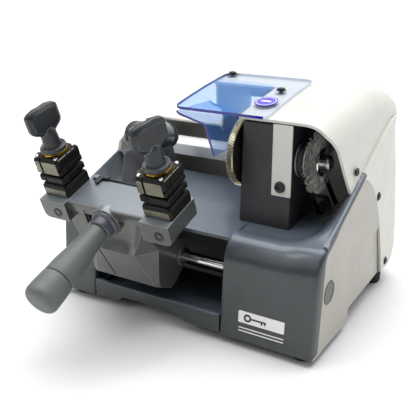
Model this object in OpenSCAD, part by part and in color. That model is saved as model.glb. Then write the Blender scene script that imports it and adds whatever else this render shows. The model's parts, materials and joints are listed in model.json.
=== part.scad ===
// Key duplicating machine: rocking carriage with two clamps, cutter, wire brush and tracer.
// Machine axes: X to the right, Y to the back, Z up. The origin is under the middle of the machine.

/* [Body] */
// Width over the two side cheeks
body_w = 332; // [326:1:340]
// Height of the underside above the floor
floor_gap = 9; // [8:0.5:10]
// Inner edge of the right block, from the centre
block_right_x = 57.5; // [55:0.5:60]
// Inner edge of the left block, from the centre
block_left_x = 115.5; // [113:0.5:117]
// Wall thickness of the castings
wall = 4.5; // [4:0.25:5]
// Height of the deck at its front edge
deck_z = 113; // [111:0.5:115]
// Rise of the deck for each millimetre towards the back
deck_slope = 0.1; // [0.08:0.01:0.11]

/* [Carriage] */
// Distance of the carriage shaft behind the front edge
shaft_y = 33.5; // [32:0.5:35]
// Height of the carriage shaft
shaft_z = 72.5; // [71:0.5:74]
// Radius of the carriage shaft
shaft_r = 6; // [5.5:0.25:6.5]
// Forward tilt of the carriage at rest, in degrees
rest_tilt = 20; // [18:0.5:22]
// Height of the clamp seats above the shaft, along the carriage
seat_h = 100; // [98:0.5:101]
// Right clamp axis, from the centre
clamp_x = 17; // [15:0.5:18]
// Distance between the two clamps, and between cutter and stylus
clamp_pitch = 133; // [130:1:135]
// Side of a clamp
clamp_side = 35; // [33:0.5:36]

/* [Cutter] */
// Distance of the spindle behind the front edge
spindle_y = 83; // [82:0.5:85]
// Height of the spindle
spindle_z = 191; // [190:0.5:193]
// Radius of the spindle
spindle_r = 8; // [7:0.5:9]
// Radius of the cutter
cutter_r = 39; // [37:0.5:39.5]
// Thickness of the cutter
cutter_t = 7; // [5:0.5:7]
// Teeth on the cutter
cutter_teeth = 60; // [40:1:72]
// Radius of the wire brush
brush_r = 34; // [32:0.5:35]

/* [Covers] */
// Thickness of the covers
skin = 3; // [2.5:0.25:3]
// Left edge of the hood, from the centre
hood_left_x = 38; // [36:1:40]
// Thickness of the clear visor
visor_t = 3; // [2.5:0.25:3]

/* [Hidden] */
$fn = 48;

tiny = 0.02;                    // overlap of solids that are joined
half_w = body_w / 2;
origin_y = 65.16;               // puts the origin under the middle of the whole machine
bush_gap = 0.05;                // running clearance on a radius
cutter_x = 38.5;
stylus_x = cutter_x + cutter_t / 2 - clamp_pitch;
left_clamp_x = clamp_x - clamp_pitch;
contact_tilt = 11.4;            // fall of the tracer axis towards the back, in degrees
front_lean = 0.08;
front_round = 20;
ridge_z0 = 122;                 // cheek ridge at ridge_y0, rising by ridge_slope
ridge_y0 = 19;
ridge_slope = 0.51;
ridge_end_y = 112;              // where the grey cheek ends and the white covers begin
deck_y0 = 20.5;
deck_y1 = 165;
beam_z0 = 149;
beam_z1 = 164;
beam_y1 = 200;
leg_y = 94;
under_z = 24;                   // underside behind the legs
housing_x0 = 49;
housing_x1 = 106;
housing_y0 = 62;
housing_y1 = 128;
housing_z1 = 229;
pulley_x = 106.5;
cover_gap = 0.6;
left_top_z = 186;               // top of the rear cover beside the hood
motor_y = 190;
motor_z = 78;
motor_r = 38;

function ridge(y) = ridge_z0 + ridge_slope * (y - ridge_y0);
function deck(y) = deck_z + deck_slope * (y - deck_y0);
function arc(cx, cy, r, a0, a1, n = 10) =
    [for (i = [0:n]) let (a = a0 + (a1 - a0) * i / n) [cx + r * cos(a), cy + r * sin(a)]];
function bezier(p, q, r, n = 12) =
    [for (i = [0:n]) let (t = i / n) (1 - t) * (1 - t) * p + 2 * t * (1 - t) * q + t * t * r];
function reversed(list) = [for (i = [len(list) - 1:-1:0]) list[i]];

// A flat outline in (Y, Z), made solid from x0 to x1
module across(x0, x1) {
    translate([x0, 0, 0]) rotate([90, 0, 90]) linear_extrude(x1 - x0) children();
}

// A flat outline in (X, Z), made solid from y0 to y1
module along(y0, y1) {
    translate([0, y1, 0]) rotate([90, 0, 0]) linear_extrude(y1 - y0) children();
}

module rod_x(x0, x1, r) {
    translate([x0, 0, 0]) rotate([0, 90, 0]) cylinder(h = x1 - x0, r = r);
}

module ring_x(x0, x1, r, bore) {
    difference() {
        rod_x(x0, x1, r);
        rod_x(x0 - 1, x1 + 1, bore);
    }
}

module box(x0, x1, y0, y1, z0, z1) {
    translate([x0, y0, z0]) cube([x1 - x0, y1 - y0, z1 - z0]);
}

// A block with its upright edges cut at 45 degrees
module chamfered(w, d, h, c) {
    linear_extrude(h)
        polygon([[c - w / 2, -d / 2], [w / 2 - c, -d / 2], [w / 2, c - d / 2], [w / 2, d / 2 - c],
            [w / 2 - c, d / 2], [c - w / 2, d / 2], [-w / 2, d / 2 - c], [-w / 2, c - d / 2]]);
}

// A hexagon-socket screw head and shank, standing on its seat and pointing up
module socket_screw(head_r, head_h, shank_r, shank_h) {
    difference() {
        cylinder(h = head_h, r = head_r);
        translate([0, 0, head_h * 0.4]) cylinder(h = head_h, r = head_r * 0.5, $fn = 6);
    }
    translate([0, 0, -shank_h]) cylinder(h = shank_h + tiny, r = shank_r);
}

module at_shaft() {
    translate([0, shaft_y, shaft_z]) children();
}

// The carriage's own frame: Z along the carriage, Y towards its back, at rest
module on_carriage() {
    at_shaft() rotate([rest_tilt, 0, 0]) children();
}

module at_spindle() {
    translate([0, spindle_y, spindle_z]) children();
}

// ---------------------------------------------------------------- base

boundary = bezier([ridge_end_y, ridge(ridge_end_y)], [174, 162], [210, under_z]);
rear_curve = bezier([235, 219], [272, 130], [285, 45]);
front_edge = concat([[0, floor_gap]], arc(front_round + 8, 104, front_round, 176, 117, 8));

// Side outline of the grey casting, with the step under the leg
module side_outline() {
    polygon(concat(front_edge, boundary, [[99, under_z], [98.5, 13], [leg_y, floor_gap]]));
}

// Outline of a front block under the deck, from the front face back to the end of the leg
module block_outline(inset) {
    polygon(concat(
        [[inset, floor_gap - (inset > 0 ? 1 : 0)]],
        arc(front_round + 8, 104 - inset, front_round - inset * 0.6, 176, 92, 8),
        [[60, deck(60) - inset], [leg_y - inset, deck(leg_y) - inset],
            [leg_y - inset, floor_gap - (inset > 0 ? 1 : 0)]]));
}

// Slope that rises from the deck to the ridge of a cheek
module cheek_slope() {
    foot_x = 129;
    hull()
        for (y = [24, ridge_end_y])
            translate([0, y, 0]) rotate([90, 0, 0]) linear_extrude(0.5)
                polygon([[foot_x, deck(y) - 6], [half_w - 1, deck(y) - 6], [half_w - 1, ridge(y) - 4],
                    [half_w - 4, ridge(y) - 0.5], [half_w - 8, ridge(y) - 2], [foot_x, deck(y)]]);
}

module side(block_x) {
    difference() {
        union() {
            across(half_w - wall, half_w) side_outline();
            across(block_x, half_w) block_outline(0);
            cheek_slope();
        }
        across(block_x + wall, half_w - wall) block_outline(wall);
    }
}

module base_casting() {
    color("slategray")
    difference() {
        union() {
            side(block_right_x);
            mirror([1, 0, 0]) side(block_left_x);
            // deck
            across(-half_w + wall - 1, half_w - wall + 1)
                polygon([[deck_y0, deck_z - 3.5], [deck_y0, deck_z], [deck_y1, deck(deck_y1)],
                    [deck_y1, deck(deck_y1) - 3.5]]);
            // rear beam, and the wall under the deck that closes the motor bay
            box(-half_w + wall - 1, housing_x0 - 10, deck_y1 - 5, beam_y1, beam_z0, beam_z1);
            for (x = [-half_w + wall - 1, -20])
                box(x, x + 12, deck_y1 - 7, deck_y1 + 1, deck(150), beam_z0 + 1);
            box(-half_w + wall - 1, half_w - wall + 1, 100, 104, under_z + 3.6, deck(100) - 1);
            // pads over the front feet
            for (s = [-1, 1]) box(s * 147 - 15, s * 147 + 15, 3, 36, floor_gap, floor_gap + 4);
            // shaft bosses inside the blocks
            at_shaft() rod_x(block_right_x + 1, block_right_x + 16, 12);
            at_shaft() rod_x(half_w - 20, half_w - 1, 18);
            at_shaft() rod_x(-block_left_x - 16, -block_left_x - 1, 12);
            at_shaft() rod_x(-half_w + 1, -half_w + 20, 18);
        }
        at_shaft() rod_x(-half_w + 6, half_w - 6, shaft_r + 0.02);
        at_shaft() rod_x(half_w - 6.1, half_w + 1, 13.1);
        at_shaft() rod_x(-half_w - 1, -half_w + 6.1, 13.1);
        // belt slot through the deck
        box(pulley_x - 2, pulley_x + 16, 112, deck_y1 + 1, 90, 140);
    }
}

module bottom_plate() {
    color("dimgray") {
        box(-half_w + 6, half_w - 6, 104.3, 262, under_z, under_z + 3);
    }
}

foot_r = 13;
module rubber_feet() {
    color([0.08, 0.08, 0.08])
    for (s = [-1, 1]) {
        translate([s * 147, 20, 0]) {
            cylinder(h = floor_gap - 0.02, r1 = foot_r - 1.5, r2 = foot_r);
        }
        translate([s * 147, 232, 0]) cylinder(h = under_z - 0.02, r1 = foot_r - 1.5, r2 = foot_r);
    }
}

module shaft_plugs() {
    color("gray")
    at_shaft() for (s = [0, 1]) mirror([s, 0, 0]) rod_x(half_w - 5.9, half_w - 0.4, 13);
}

module name_plate() {
    plate_w = 53;
    plate_h = 13;
    color("white")
    translate([107, front_lean * (36.4 - floor_gap) - 0.03, 36.4]) rotate([90 - atan(front_lean), 0, 0])
        translate([-plate_w / 2, -plate_h / 2, 0]) cube([plate_w, plate_h, 1.2]);
}

tray_y0 = 0.6;
tray_z1 = 30;
module chip_tray() {
    x0 = -block_left_x + 0.8;
    x1 = block_right_x - 0.8;
    color("slategray")
    difference() {
        union() {
            box(x0, x1, 5, 92, floor_gap + 1, tray_z1 - 4);
            // front board, with a raised middle of the lower edge for the fingers
            translate([0, tray_y0 + 5, 0]) rotate([90, 0, 0]) linear_extrude(5)
                polygon([[x0, floor_gap + 0.5], [x0 + 32, floor_gap + 0.5], [x0 + 40, floor_gap + 7],
                    [x1 - 52, floor_gap + 7], [x1 - 40, floor_gap + 0.5], [x1, floor_gap + 0.5],
                    [x1, tray_z1], [x0, tray_z1]]);
        }
        box(x0 + 2.5, x1 - 2.5, 8, 89.5, floor_gap + 4, tray_z1 + 10);
        box(x0 + 40, x1 - 52, tray_y0 - 1, 14, floor_gap - 1, floor_gap + 3);
    }
}

// ------------------------------------------------------------ carriage

module carriage_shaft() {
    color("silver") at_shaft() rod_x(-half_w + 6.2, half_w - 6.2, shaft_r);
}

bush_r = 9;
body_x0 = -104;
body_x1 = -10;
module carriage_bushes() {
    color("peru") at_shaft() {
        ring_x(body_x0 + 0.5, body_x0 + 24, bush_r, shaft_r + bush_gap);
        ring_x(body_x1 - 24, body_x1 - 0.5, bush_r, shaft_r + bush_gap);
    }
}

seat_t = 24;
seat_front = -62;
seat_back = -12;
rod_v = -10;
clamp_v = -33;                  // clamp axis along the carriage's own Y

module seat(x) {
    box(x - clamp_side / 2, x + clamp_side / 2, seat_front, seat_back, seat_h - seat_t, seat_h);
}

module carriage_casting() {
    body = [[-54, -2], [-50, -6], [-34, -20], [-22, -20], [-10, -12], [-2, -12], [6, -10], [11, -4], [13, 4],
        [12, 13], [5, 23], [-8, 30], [-21, 29], [-25, 33], [-25, 78], [-14, 88], [-52, 88], [-50, 60],
        [-54, 37]];
    color("lightslategray") on_carriage()
    difference() {
        union() {
            across(body_x0, body_x1) polygon(body);
            // top plate between the seats
            box(left_clamp_x, clamp_x, -56, seat_back, seat_h - 13, seat_h - 0.4);
            seat(clamp_x);
            seat(left_clamp_x);
            // webs that carry the seats
            for (end = [[body_x1 - 12, clamp_x - 4], [body_x0 + 12, left_clamp_x + 4]])
                hull() {
                    box(end[0], end[0] + 1, -50, -25, 34, 40);
                    box(end[1], end[1] + 1, -50, -25, seat_h - seat_t, seat_h - seat_t + 4);
                    box(end[0], end[0] + 1, -50, -25, 80, 84);
                }
            // boss for the handle
            translate([-50, -50, 84]) rotate([90 + 5, 0, 0]) cylinder(h = 8, r = 16);
            // ears for the gauge rod
            for (x = [-92, -8]) box(x - 3, x + 3, -15, rod_v + 3, seat_h - 14, seat_h + 2.5);
        }
        rod_x(body_x0 - 1, body_x1 + 1, bush_r + bush_gap);
        for (x = [-82, -18]) translate([0, rod_v, seat_h - 1]) rod_x(x - 8, x + 8, 4.2);
        translate([-50, -50, 84]) rotate([90 + 5, 0, 0]) translate([0, 0, -20]) cylinder(h = 40, r = 5.02);
        for (x = [clamp_x, left_clamp_x]) {
            translate([x, clamp_v, seat_h - 20]) cylinder(h = 30, r = 9.05);
            translate([x + 4, seat_front - 1, seat_h - 14]) rotate([-90, 0, 0]) cylinder(h = 5, r = 5);
            translate([x + 4, seat_front, seat_h - 14]) rotate([-90, 0, 0]) cylinder(h = 16, r = 2.52);
        }
        translate([0, rod_v, seat_h - 1]) rod_x(-101, 1, 2.05);
    }
}

module seat_screws() {
    color([0.12, 0.12, 0.12]) on_carriage()
    for (x = [clamp_x, left_clamp_x])
        translate([x + 4, seat_front + 4, seat_h - 14]) rotate([90, 0, 0]) socket_screw(4.5, 3.5, 2.5, 9);
}

// Rod across the back of the carriage with two fingers that set the tips of the keys
module gauge_rod() {
    color("gray") on_carriage() {
        translate([0, rod_v, seat_h - 1]) rod_x(-97, -3, 2);
        for (x = [-82, -18]) {
            translate([0, rod_v, seat_h - 1]) ring_x(x - 6, x + 6, 3.6, 1.9);
            box(x - 6, x - 1, rod_v - 11, rod_v, seat_h + 0.6, seat_h + 2.5);
        }
    }
}

module on_handle() {
    on_carriage() translate([-50, -50, 84]) rotate([90 + 5, 0, 0]) children();
}

module handle_stud() {
    color("silver") on_handle() translate([0, 0, -10]) cylinder(h = 100, r = 5);
}

module handle_collar() {
    color("dimgray") on_handle()
    difference() {
        rotate_extrude()
            polygon([[0, 8.1], [16, 8.1], [16, 10.5], [14.5, 11.5], [13.5, 12], [13.5, 20], [12.5, 21.5],
                [0, 21.5]]);
        cylinder(h = 40, r = 5.05);
    }
}

module handle_grip() {
    color("darkgray") on_handle()
    difference() {
        rotate_extrude() polygon([[0, 21.7], [11, 21.7], [11.5, 22.5], [16.6, 88], [16.2, 89], [0, 89]]);
        cylinder(h = 88, r = 5.05);
        translate([0, 0, 80]) cylinder(h = 10.1, r = 5.05);
    }
}

module handle_cap() {
    color("darkgray") on_handle()
    rotate_extrude() polygon(concat([[0, 90.2], [16.2, 90.2], [16.8, 91]],
        arc(18 - 7, 121 - 7, 7, 5, 80, 8), [[0, 121.6]]));
}

// -------------------------------------------------------------- clamps

slot_h = 25.5;                  // key slot above the seat
jaw_gap = 3;
upper_h = 19;

module on_clamp(x) {
    on_carriage() translate([x, clamp_v, seat_h + 0.3]) children();
}

module lower_jaw(x) {
    color([0.15, 0.15, 0.14]) on_clamp(x)
    difference() {
        union() {
            translate([0, 0, -18]) cylinder(h = 19, r = 9);
            chamfered(clamp_side, clamp_side + 3, 13, 2);
            translate([0, 0, 12.9]) chamfered(clamp_side - 6, clamp_side - 3, 4, 2);
            translate([0, 0, 16.8]) chamfered(clamp_side, clamp_side + 2, 7.2, 2);
        }
        translate([0, 0, -19]) cylinder(h = 50, r = 4.05);
        // guide groove for the back of the key, on each of the four sides
        for (a = [0:90:270]) rotate([0, 0, a]) translate([0, -clamp_side / 2 - 1, 24]) cube([40, 14, 2],
            center = true);
    }
}

module upper_jaw(x) {
    color([0.13, 0.13, 0.12]) on_clamp(x) translate([0, 0, slot_h + jaw_gap - 1.5])
    difference() {
        union() {
            chamfered(clamp_side, clamp_side + 2, 6, 2);
            translate([0, 0, 5.9]) chamfered(clamp_side - 3, clamp_side - 1, 1.2, 2);
            translate([0, 0, 7]) chamfered(clamp_side, clamp_side + 2, upper_h - 7, 2);
        }
        translate([0, 0, -1]) cylinder(h = 40, r = 4.1);
        for (sx = [-1, 1], sy = [-1, 1])
            translate([sx * 13, sy * 14, upper_h - 6]) cylinder(h = 8, r = 2.02);
    }
}

module jaw_pins(x) {
    color("silver") on_clamp(x) translate([0, 0, slot_h + jaw_gap - 1.5])
    for (sx = [-1, 1], sy = [-1, 1])
        translate([sx * 13, sy * 14, upper_h - 6]) cylinder(h = 7.6, r = 2);
}

module clamp_stud(x) {
    color("silver") on_clamp(x) translate([0, 0, -17]) cylinder(h = 80, r = 4);
}

washer_z = slot_h + jaw_gap - 1.5 + upper_h + 0.1;
module washer(x) {
    color("goldenrod") on_clamp(x) translate([0, 0, washer_z])
    difference() {
        cylinder(h = 2.6, r = 14);
        translate([0, 0, -1]) cylinder(h = 6, r = 4.3);
    }
}

module wing_knob(x, turn) {
    color("gray") on_clamp(x) translate([0, 0, washer_z + 2.8]) rotate([0, 0, turn])
    difference() {
        union() {
            rotate_extrude()
                polygon([[0, 0], [14.2, 0], [14.2, 3.4], [13, 4.4], [9.6, 5], [8, 18], [7.4, 24], [0, 24]]);
            // paddle
            translate([0, 6, 0]) rotate([90, 0, 0]) linear_extrude(12)
                polygon([[-10, 20.5], [-19.3, 27], [-19.6, 44], [-16, 47.5], [-8, 49.5], [0, 48], [8, 49.5],
                    [16, 47.5], [19.6, 44], [19.3, 27], [10, 20.5]]);
        }
        translate([0, 0, -1]) cylinder(h = 21, r = 4.05);
    }
}

left_turn = 80;
right_turn = 70;
module left_lower_jaw() { lower_jaw(left_clamp_x); }
module left_upper_jaw() { upper_jaw(left_clamp_x); }
module left_clamp_stud() { clamp_stud(left_clamp_x); }
module left_washer() { washer(left_clamp_x); }
module left_wing_knob() { wing_knob(left_clamp_x, left_turn); }
module left_jaw_pins() { jaw_pins(left_clamp_x); }
module right_lower_jaw() { lower_jaw(clamp_x); }
module right_upper_jaw() { upper_jaw(clamp_x); }
module right_clamp_stud() { clamp_stud(clamp_x); }
module right_washer() { washer(clamp_x); }
module right_wing_knob() { wing_knob(clamp_x, right_turn); }
module right_jaw_pins() { jaw_pins(clamp_x); }

// -------------------------------------------------------------- tracer

tower_top = 176;
head_r = 15;
head_front = -28;               // along the tracer axis, from the spindle's plane
head_back = 34;

// Z along the tracer axis towards the back; the origin is level with the spindle
module on_tracer() {
    translate([stylus_x, spindle_y, spindle_z]) rotate([-90 - contact_tilt, 0, 0]) children();
}

module tracer_tower() {
    color("slategray")
    difference() {
        union() {
            hull() {
                translate([stylus_x, 84, deck(48)]) linear_extrude(1) square([46, 68], center = true);
                translate([stylus_x, 84, tower_top]) linear_extrude(1) square([33, 58], center = true);
            }
            on_tracer() translate([0, 0, head_front + 3]) cylinder(h = head_back - head_front - 6,
                r = head_r + 2.5);
        }
        across(stylus_x - 40, stylus_x + 40)
            polygon([[40, 90], [40, deck(40) + 0.05], [130, deck(130) + 0.05], [130, 90]]);
        on_tracer() translate([0, 0, head_front - 20]) cylinder(h = 120, r = 11.02);
        on_tracer() rotate([90, 0, 0]) cylinder(h = 40, r = 3.02);
    }
}

module tracer_head() {
    color("gray") on_tracer()
    difference() {
        translate([0, 0, head_front]) cylinder(h = head_back - head_front, r = 11);
        translate([0, 0, head_front - 20]) cylinder(h = 120, r = 4.05);
    }
}

module tracer_stylus() {
    color([0.15, 0.15, 0.15]) on_tracer() {
        translate([0, 0, -cutter_r + 8]) cylinder(h = 70, r = 4);
        translate([-cutter_t / 2, -6, -cutter_r + 0.3]) cube([cutter_t, 12, 9]);
    }
}

module tracer_dial() {
    color([0.08, 0.08, 0.08]) on_tracer()
    difference() {
        translate([0, 0, head_back + 0.4]) cylinder(h = 9, r = 15.5);
        translate([0, 0, head_back - 1]) cylinder(h = 8, r = 4.3);
    }
}

module tracer_clamp_screw() {
    color([0.12, 0.12, 0.12]) on_tracer() rotate([90, 0, 0]) translate([0, 0, head_r + 2.6])
        socket_screw(4.5, 3, 2.9, 6);
}

// ------------------------------------------------------------- spindle

module spindle_housing() {
    z0 = deck(housing_y0) - 6;
    color([0.2, 0.2, 0.21])
    difference() {
        union() {
            along(housing_y0, housing_y1)
                polygon([[housing_x0 - 3, deck(housing_y0)], [housing_x1, deck(housing_y0)],
                    [housing_x1, housing_z1], [housing_x0, housing_z1]]);
            box(housing_x0 + 3, housing_x1 - 3, housing_y0 + 3, housing_y1 - 3, z0, z0 + 8);
        }
        // the deck's slope
        across(housing_x0 - 10, housing_x1 + 10)
            polygon([[40, z0 - 20], [40, deck(40) + 0.05], [200, deck(200) + 0.05], [200, z0 - 20]]);
        // hollow behind the front wall, open at the top
        box(housing_x0 + 7, housing_x1 - 7, housing_y0 + 6, housing_y1 - 6, deck(housing_y1) + 8,
            spindle_z - 24);
        at_spindle() rod_x(housing_x0 - 10, housing_x1 + 10, spindle_r + 1);
        at_spindle() rod_x(housing_x0 - 1, housing_x0 + 12, 16.02);
        at_spindle() rod_x(housing_x1 - 12, housing_x1 + 1, 16.02);
    }
}

module front_strip() {
    color("white")
    difference() {
        box(85, 107, housing_y0 - 2.1, housing_y0 - 0.1, 154, 230);
        translate([95, housing_y0, 164]) rotate([90, 0, 0]) cylinder(h = 10, r = 2.6);
    }
}

module strip_screw() {
    color([0.1, 0.1, 0.1])
    translate([95, housing_y0 - 2.2, 164]) rotate([90, 0, 0]) socket_screw(5.5, 3.5, 2.5, 2.05);
}

module spindle_bearings() {
    color("silver") at_spindle() {
        ring_x(housing_x0 + 0.5, housing_x0 + 11.5, 16, spindle_r + bush_gap);
        ring_x(housing_x1 - 11.5, housing_x1 - 0.5, 16, spindle_r + bush_gap);
    }
}

brush_x = 128;
module spindle() {
    color("silver") at_spindle() rod_x(cutter_x - 8, brush_x + 13, spindle_r);
}

module cutter() {
    depth = 1.2;
    step = 360 / cutter_teeth;
    color("darkkhaki") at_spindle()
    difference() {
        across(cutter_x, cutter_x + cutter_t)
            polygon([for (i = [0:cutter_teeth - 1], k = [0, 1])
                let (r = cutter_r - depth * k, a = i * step + k * step * 0.25) [r * cos(a), r * sin(a)]]);
        rod_x(cutter_x - 1, cutter_x + cutter_t + 1, spindle_r + 0.02);
        ring_x(cutter_x + cutter_t - 1.5, cutter_x + cutter_t + 1, cutter_r - 6, 14);
    }
}

module cutter_nut() {
    color("silver") at_spindle()
    difference() {
        union() {
            rod_x(cutter_x - 2.6, cutter_x - 0.1, 15);
            translate([cutter_x - 7.6, 0, 0]) rotate([0, 90, 0]) cylinder(h = 5.1, r = 13, $fn = 6);
        }
        rod_x(cutter_x - 9, cutter_x + 1, spindle_r + 0.02);
    }
}

module brush_hub() {
    color("silver") at_spindle() ring_x(brush_x - 5, brush_x + 5, 15, spindle_r + 0.02);
}

module brush_bristles() {
    color("dimgray") at_spindle()
    rotate([0, 90, 0]) translate([0, 0, brush_x]) rotate_extrude()
        polygon([[15.05, -3.5], [brush_r, -7], [brush_r, 7], [15.05, 3.5]]);
}

module brush_nut() {
    color("silver") at_spindle()
    difference() {
        translate([brush_x + 5.1, 0, 0]) rotate([0, 90, 0]) cylinder(h = 6, r = 12, $fn = 6);
        rod_x(brush_x, brush_x + 20, spindle_r + 0.02);
    }
}

belt_w = 7;
pulley_r = 17;
motor_pulley_r = 15;
module grooved_pulley(x, r, bore) {
    translate([x - belt_w / 2 - 2, 0, 0]) rotate([0, 90, 0])
    difference() {
        rotate_extrude() polygon([[0, 0], [r + 2, 0], [r + 2, 1.6], [r, 2], [r, belt_w + 2],
            [r + 2, belt_w + 2.4],
            [r + 2, belt_w + 4], [0, belt_w + 4]]);
        translate([0, 0, -1]) cylinder(h = belt_w + 8, r = bore);
    }
}

module spindle_pulley() {
    color("gray") at_spindle() grooved_pulley(pulley_x + 7, pulley_r, spindle_r + 0.02);
}

module at_motor() {
    translate([0, motor_y, motor_z]) children();
}

// Belt with straight runs between the two pulleys, running clear of their rims by a hair
module drive_belt() {
    dy = motor_y - spindle_y;
    dz = motor_z - spindle_z;
    length = sqrt(dy * dy + dz * dz);
    r1 = pulley_r + 0.4;
    r2 = motor_pulley_r + 0.4;
    color([0.1, 0.1, 0.1])
    at_spindle() translate([pulley_x + 7 - belt_w / 2 + 0.6, 0, 0]) rotate([atan2(dz, dy), 0, 0])
        rotate([90, 0, 90])
        linear_extrude(belt_w - 1.2)
            difference() {
                belt_outline(length, r1 + 1.8, r2 + 1.8);
                belt_outline(length, r1, r2);
            }
}

module belt_outline(length, r1, r2) {
    lean = asin((r1 - r2) / length);
    polygon(concat(arc(0, 0, r1, 90 - lean, 270 + lean, 24), arc(length, 0, r2, lean - 90, 90 - lean, 24)));
}

motor_x0 = -40;
motor_x1 = 92;
module motor() {
    color("gray") at_motor()
    difference() {
        union() {
            rod_x(motor_x0, motor_x1, motor_r);
            rod_x(motor_x0 - 10, motor_x0 + 1, 22);
            rod_x(motor_x1 - 1, motor_x1 + 5, 18);
        }
        rod_x(motor_x1 - 40, motor_x1 + 6, 5.05);
    }
}

module motor_bracket() {
    color("dimgray")
    difference() {
        box(motor_x0 + 20, motor_x1 - 20, motor_y - 30, motor_y + 30, under_z + 3.1, motor_z - 20);
        at_motor() rod_x(motor_x0, motor_x1, motor_r + 0.02);
    }
}

module motor_shaft() {
    color("silver") at_motor() rod_x(motor_x1 - 39, pulley_x + 18, 5);
}

module motor_pulley() {
    color("gray") at_motor() grooved_pulley(pulley_x + 7, motor_pulley_r, 5.02);
}

// -------------------------------------------------------------- covers

hood_x1 = 162;
hood_y0 = 60;
hood_y1 = 240;
hood_foot_z = 219.4;            // underside of the hood, just above the rear cover
foot_lip = 2;                   // rim left inside the hood's foot

// Height of the hood's crown at y
function crown(y) = y < 190
    ? 256 - 22 * pow((190 - y) / 130, 1.35)
    : 256 - 36 * (1 - pow(max(0, 1 - pow((y - 190) / 50, 3)), 1 / 3));
function crown_line(y0, y1, n, t) = [for (i = [0:n]) let (y = y0 + (y1 - y0) * i / n) [y, crown(y) - t]];

// Solid form of the hood, shrunk by t and run out past the front when it is the hollow
module hood_form(t) {
    y0 = t > 0 ? hood_y0 - 1 : hood_y0;
    foot = t > 0 ? 20 : 0;
    intersection() {
        across(t - hood_left_x, hood_x1 - t)
            polygon(concat([[y0, crown(hood_y0) - t]], crown_line(hood_y0, 190, 10, t),
                crown_line(194, hood_y1 - t, 12, t), [[hood_y1 - t, hood_foot_z + (t > 0 ? foot_lip : 0)],
                [206, hood_foot_z + (t > 0 ? foot_lip : 0)], [206, ridge(206) - foot],
                [y0, ridge(y0) + 0.4 - foot]]));
        along(y0 - 1, hood_y1 + 1)
            polygon(concat([[t - hood_left_x - 1, 100], [t - hood_left_x - 1, 270], [118, 270],
                [118, 257 - t]],
                arc(118, 257 - 38, 38 - t, 84, 18, 8), [[hood_x1 - t, 205], [hood_x1 - t, 100]]));
    }
}

// Back edge of the left wall, inside the rear cover
wall_back = [for (p = rear_curve) if (p[1] > left_top_z + 1) p - [skin + 0.9, 0]];

module hood() {
    color("white")
    difference() {
        union() {
            difference() {
                hood_form(0);
                hood_form(skin);
                box(-hood_left_x - 1, 150, hood_y0 - 1, hood_y1 - skin - 1,
                    100, hood_foot_z + foot_lip + 0.2);
                // open left side in front of the wall
                across(-hood_left_x - 1, 0)
                    polygon([[50, 100], [50, 200], [58, crown(60) - 9], [140, crown(140) - 11],
                        [148, 220], [148, 100]]);
            }
            // left wall, down to the low top of the rear cover
            across(-hood_left_x, -hood_left_x + skin)
                polygon(concat([[166, left_top_z + 1]], arc(150, 204, 16, -60, 85, 6),
                    [[150, crown(150) - 2]],
                    crown_line(160, 232, 6, 2), [[237, 232], [237, hood_foot_z + 0.4]], wall_back,
                    [[wall_back[len(wall_back) - 1][0], left_top_z + 1]]));
        }
        // swept front edge of the right wall
        across(100, 170)
            polygon([[50, 100], [50, 224], [60, 224], [66, 214], [75, 197], [91, 159], [91, 100]]);
        // window under the visor
        box(-hood_left_x - 1, 45, 50, 147, 215, 270);
        // screw holes
        for (p = visor_screw_places) translate([p[0], p[1], 200]) cylinder(h = 80, r = 2.1);
    }
}

visor_x0 = -36;
visor_x1 = 78;
visor_y0 = 58;
visor_y1 = 178;
visor_lift = 0.15;
visor_screw_places = [[-27, 172], [59, 130]];
module visor() {
    color([0.3, 0.5, 0.9, 0.5])
    difference() {
        across(visor_x0, visor_x1)
            polygon(concat(crown_line(visor_y0, visor_y1, 12, -visor_lift - visor_t),
                reversed(crown_line(visor_y0, visor_y1, 12, -visor_lift))));
        for (p = visor_screw_places) {
            translate([p[0], p[1], 200]) cylinder(h = 80, r = 2.1);
            // spot face under the head
            translate([p[0], p[1], crown(p[1]) + visor_t + 0.48]) cylinder(h = 10, r = 4.6);
        }
    }
}

module visor_screws() {
    color([0.15, 0.15, 0.15])
    for (p = visor_screw_places)
        translate([p[0], p[1], crown(p[1]) + visor_t + 0.5]) socket_screw(4.5, 2.5, 2, 9);
}

badge_tilt = 11.6;              // slope of the crown under the badge
module visor_badge() {
    color([0.2, 0.1, 0.8])
    translate([59, 94, crown(94) + visor_t + 0.5]) rotate([badge_tilt, 0, 0]) cylinder(h = 0.6, r = 13);
}

// Clear flap that hangs to the left of the cutter and turns the chips away
module chip_guard() {
    color([0.3, 0.5, 0.9, 0.5])
    translate([0, 59, 0]) along(0, 70)
        polygon([[-34, 231.5], [-30, 226.5], [2, 219], [14, 186], [16.5, 187], [4.5, 221], [-29, 229],
            [-31.5, 231.8]]);
}

module rear_outline() {
    polygon(concat([for (p = boundary) p + [cover_gap, 0]], [[266, under_z], [280, 32]],
        reversed(rear_curve), [[206, ridge(206)]]));
}

cover_screw_places = [[173, 134], [225, 34]];
// Each screw's seat on the two sides, with Z pointing outwards
module on_cover_sides() {
    for (s = [0, 1]) mirror([s, 0, 0])
        for (p = cover_screw_places)
            translate([half_w - 0.28, p[0], p[1]]) rotate([0, 90, 0]) children();
}

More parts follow.
